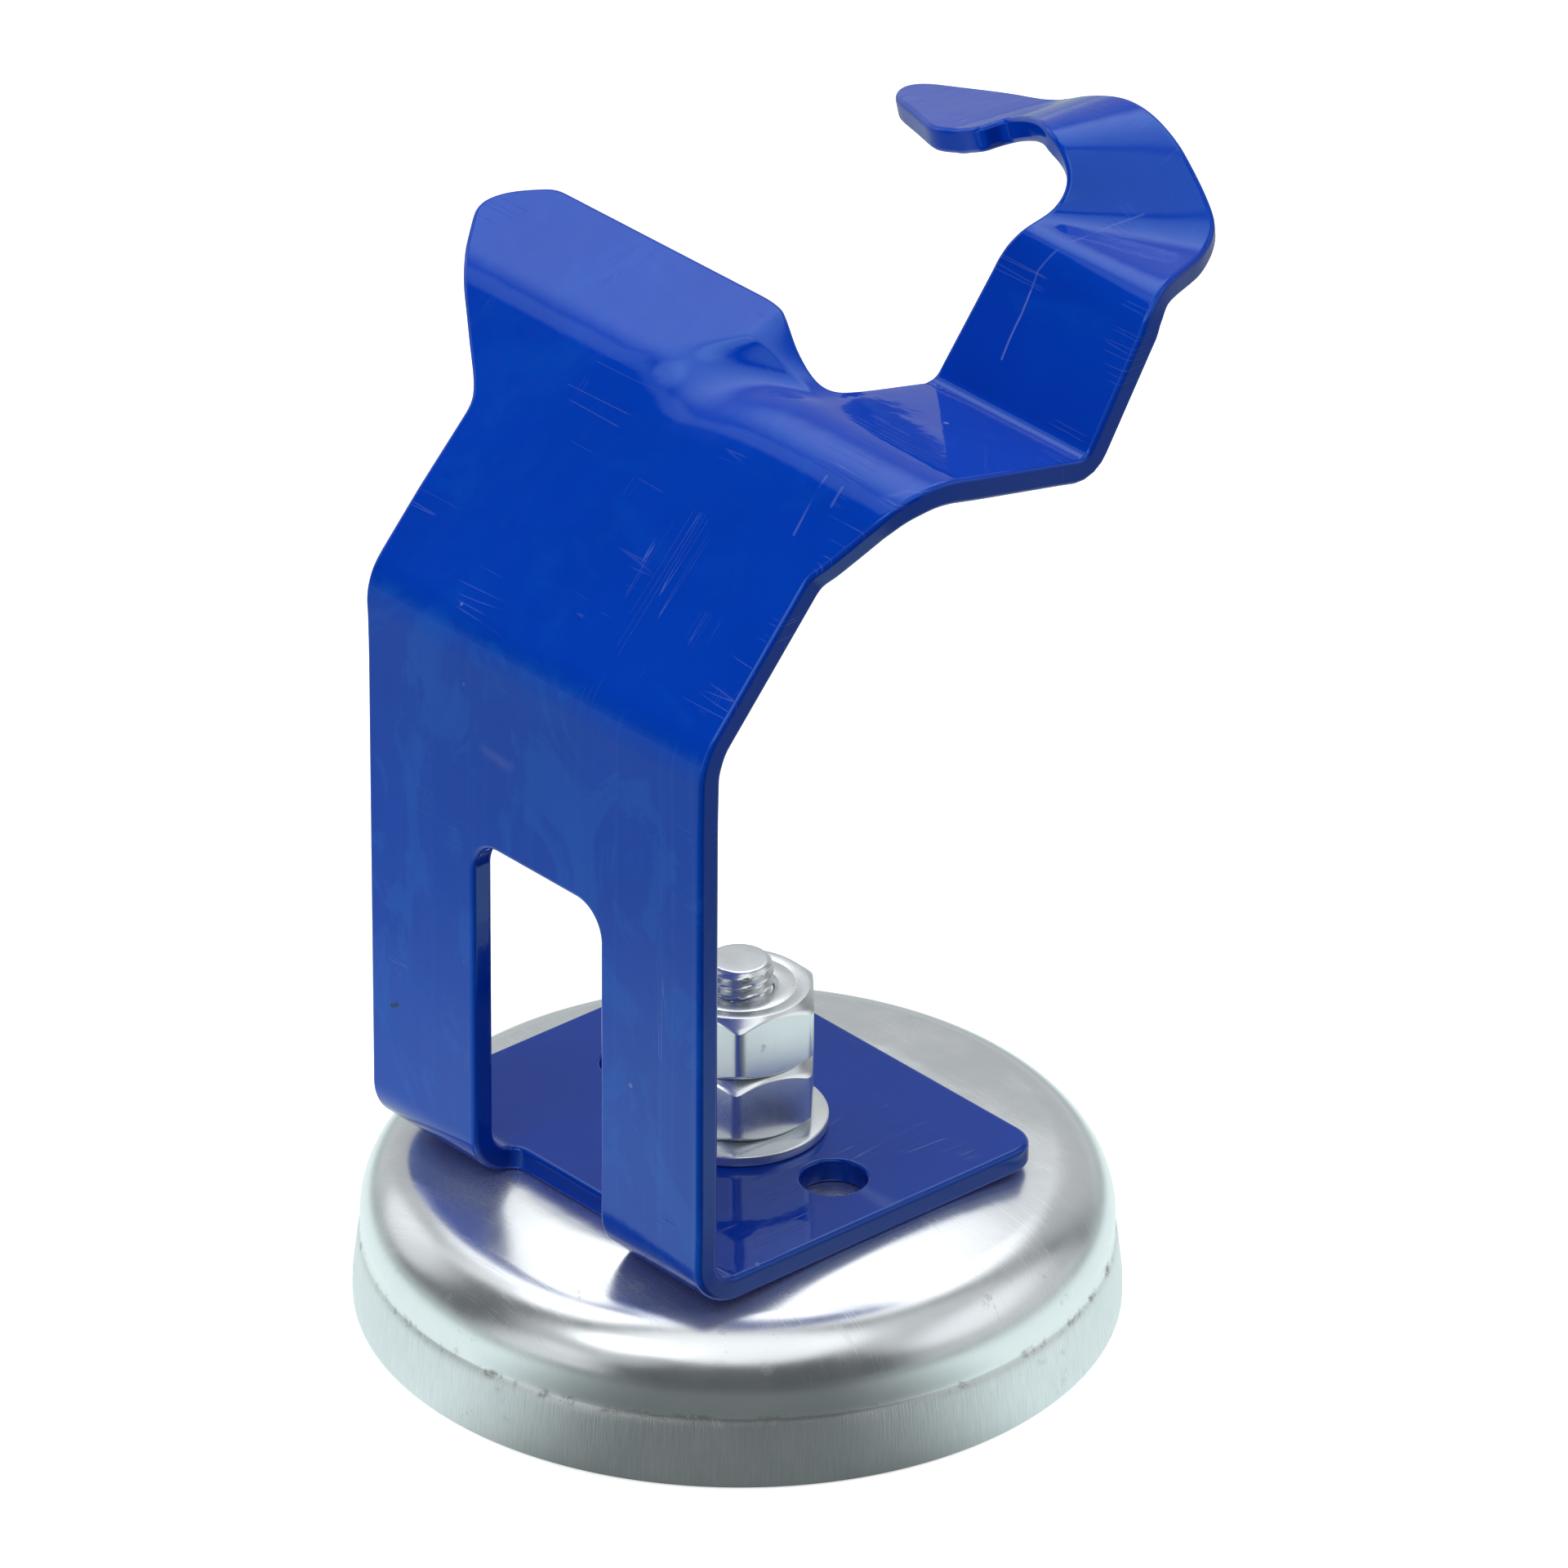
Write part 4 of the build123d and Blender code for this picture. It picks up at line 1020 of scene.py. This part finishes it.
def floor_paper():
    mat = Nodes(bpy.data.materials.new("floor_paper"))
    colour = mat.mix((0.90, 0.90, 0.905), (0.92, 0.92, 0.92), mat.noise(scale=3.0, detail=2))
    lit = mat.bsdf(Base_Color=colour, Roughness=0.8, Specular_IOR_Level=0.1,
                   Emission_Color=(1, 1, 1), Emission_Strength=FLOOR_GLOW)
    # the object sees a floor that is dimmest on the camera's side
    x, y, _ = mat.axes(mat.position)
    distance = mat.math("SQRT", mat.add(mat.mul(x, x), mat.mul(y, y)))
    side = mat.add(mat.mul(x, by=-away.x), mat.mul(y, by=-away.y))
    cosine = mat.math("DIVIDE", side, mat.math("MAXIMUM", distance, 0.001))
    glow = mat.mul(mat.ramp(cosine, **FLOOR_SEEN),
                   mat.fade(distance, lo=0.07, hi=0.15, end=FLOOR_FAR))
    seen = mat.new("ShaderNodeEmission")
    mat.set(seen.inputs[0], FLOOR_TINT)
    mat.set(seen.inputs[1], glow)
    pick = mat.new("ShaderNodeMixShader")
    mat.set(pick.inputs[0], mat.new("ShaderNodeLightPath").outputs["Is Camera Ray"])
    mat.set(pick.inputs[1], seen.outputs[0])
    mat.set(pick.inputs[2], lit.outputs[0])
    mat.set(mat.out.inputs[0], pick.outputs[0])
    return mat.owner


def build_floor():
    row = FLOOR_CELLS + 1
    ticks = [-FLOOR_HALF + 2 * FLOOR_HALF * i / FLOOR_CELLS for i in range(row)]
    verts = [(x, y, FLOOR_Z) for y in ticks for x in ticks]
    faces = [(j * row + i, j * row + i + 1, (j + 1) * row + i + 1, (j + 1) * row + i)
             for j in range(FLOOR_CELLS) for i in range(FLOOR_CELLS)]
    mesh = bpy.data.meshes.new("floor")
    mesh.from_pydata(verts, [], faces)
    ob = bpy.data.objects.new("floor", mesh)
    bpy.context.scene.collection.objects.link(ob)
    mesh.materials.append(floor_paper())


build_floor()

# ------------------------------------------------------------------ lights
LIGHT_TARGET = Vector((0, 0, 0.06))
AREA_LIGHTS = [  # name, direction from the target, distance, width, height (m), power (W)
    ("left_fill", (-0.95, -0.25, 0.12), 1.2, 1.3, 1.0, 5.0),
    ("top_fill", (0.5, 0.5, 0.7), 1.4, 1.0, 1.0, 2.0),
]
for name, direction, distance, width, height, power in AREA_LIGHTS:
    light = bpy.data.lights.new(name, "AREA")
    light.shape, light.size, light.size_y = "RECTANGLE", width, height
    light.energy = power
    light.spread = math.radians(180)
    lamp = bpy.data.objects.new(name, light)
    spot = LIGHT_TARGET + distance * Vector(direction).normalized()
    lamp.location = spot
    lamp.rotation_euler = (LIGHT_TARGET - spot).to_track_quat("-Z", "Y").to_euler()
    bpy.context.scene.collection.objects.link(lamp)
    lamp.visible_glossy = lamp.visible_camera = False

# ------------------------------------------------------------------ sky
HORIZON = 0.15                  # low band of light, absent on the camera's side
SKY_BASE, SKY_TINT = 0.05, (0.80, 0.95, 1.0)
WHITE = (1, 1, 1)
GLOWS = [  # direction, full within, gone by (degrees), level
    ((0.60, 0.70, 0.35), 35, 60, 0.46), ((0.30, 0.35, 0.88), 15, 31, 1.75),
    ((-0.30, -0.34, 0.89), 22, 30, 1.2), ((-0.20, 0.37, 0.91), 6, 12, 1.8),
    ((-0.66, -0.06, 0.74), 7, 15, 1.6), ((-0.18, 0.654, 0.734), 3, 8, 0.8),
    ((-0.28, 0.50, 0.82), 3, 8, 0.6), ((-0.25, 0.89, 0.37), 10, 22, 0.8),
    ((0.70, -0.70, 0.12), 28, 42, 0.5), ((0.45, -0.60, 0.66), 20, 36, 0.6),
    ((-0.985, 0.15, 0.10), 8, 24, 0.8), ((-0.78, -0.02, 0.62), 14, 28, 0.5),
]


def build_sky():
    """Soft glows light the object; the camera sees plain white."""
    world = bpy.data.worlds.new("studio")
    bpy.context.scene.world = world
    sky = Nodes(world, "ShaderNodeOutputWorld", "Generated")

    def towards(direction):
        return sky.vec("DOT_PRODUCT", sky.position, tuple(direction), "Value")

    lights = []
    for direction, full, gone, level in GLOWS:
        cosine = towards(Vector(direction).normalized())
        lights.append((WHITE, sky.ramp(cosine, lo=math.cos(math.radians(gone)),
                                       hi=math.cos(math.radians(full)), end=level)))
    band = sky.mul(sky.fade(towards((0, 0, 1)), lo=0.03, hi=0.16),
                   sky.ramp(towards(away), lo=-0.80, hi=-0.35, end=HORIZON))
    lights += [(WHITE, band), (SKY_TINT, SKY_BASE)]
    scaled = [sky.vec("SCALE", tint, scale=level) for tint, level in lights]
    total = reduce(lambda first, second: sky.vec("ADD", first, second), scaled)
    camera_ray = sky.new("ShaderNodeLightPath").outputs["Is Camera Ray"]
    background = sky.new("ShaderNodeBackground")
    sky.set(background.inputs["Color"], sky.mix(total, WHITE, camera_ray))
    sky.set(background.inputs["Strength"], 1.0)
    sky.set(sky.out.inputs[0], background.outputs[0])


build_sky()
view = bpy.context.scene.view_settings
view.view_transform = "Standard"
view.look = "None"
view.exposure = 0.0
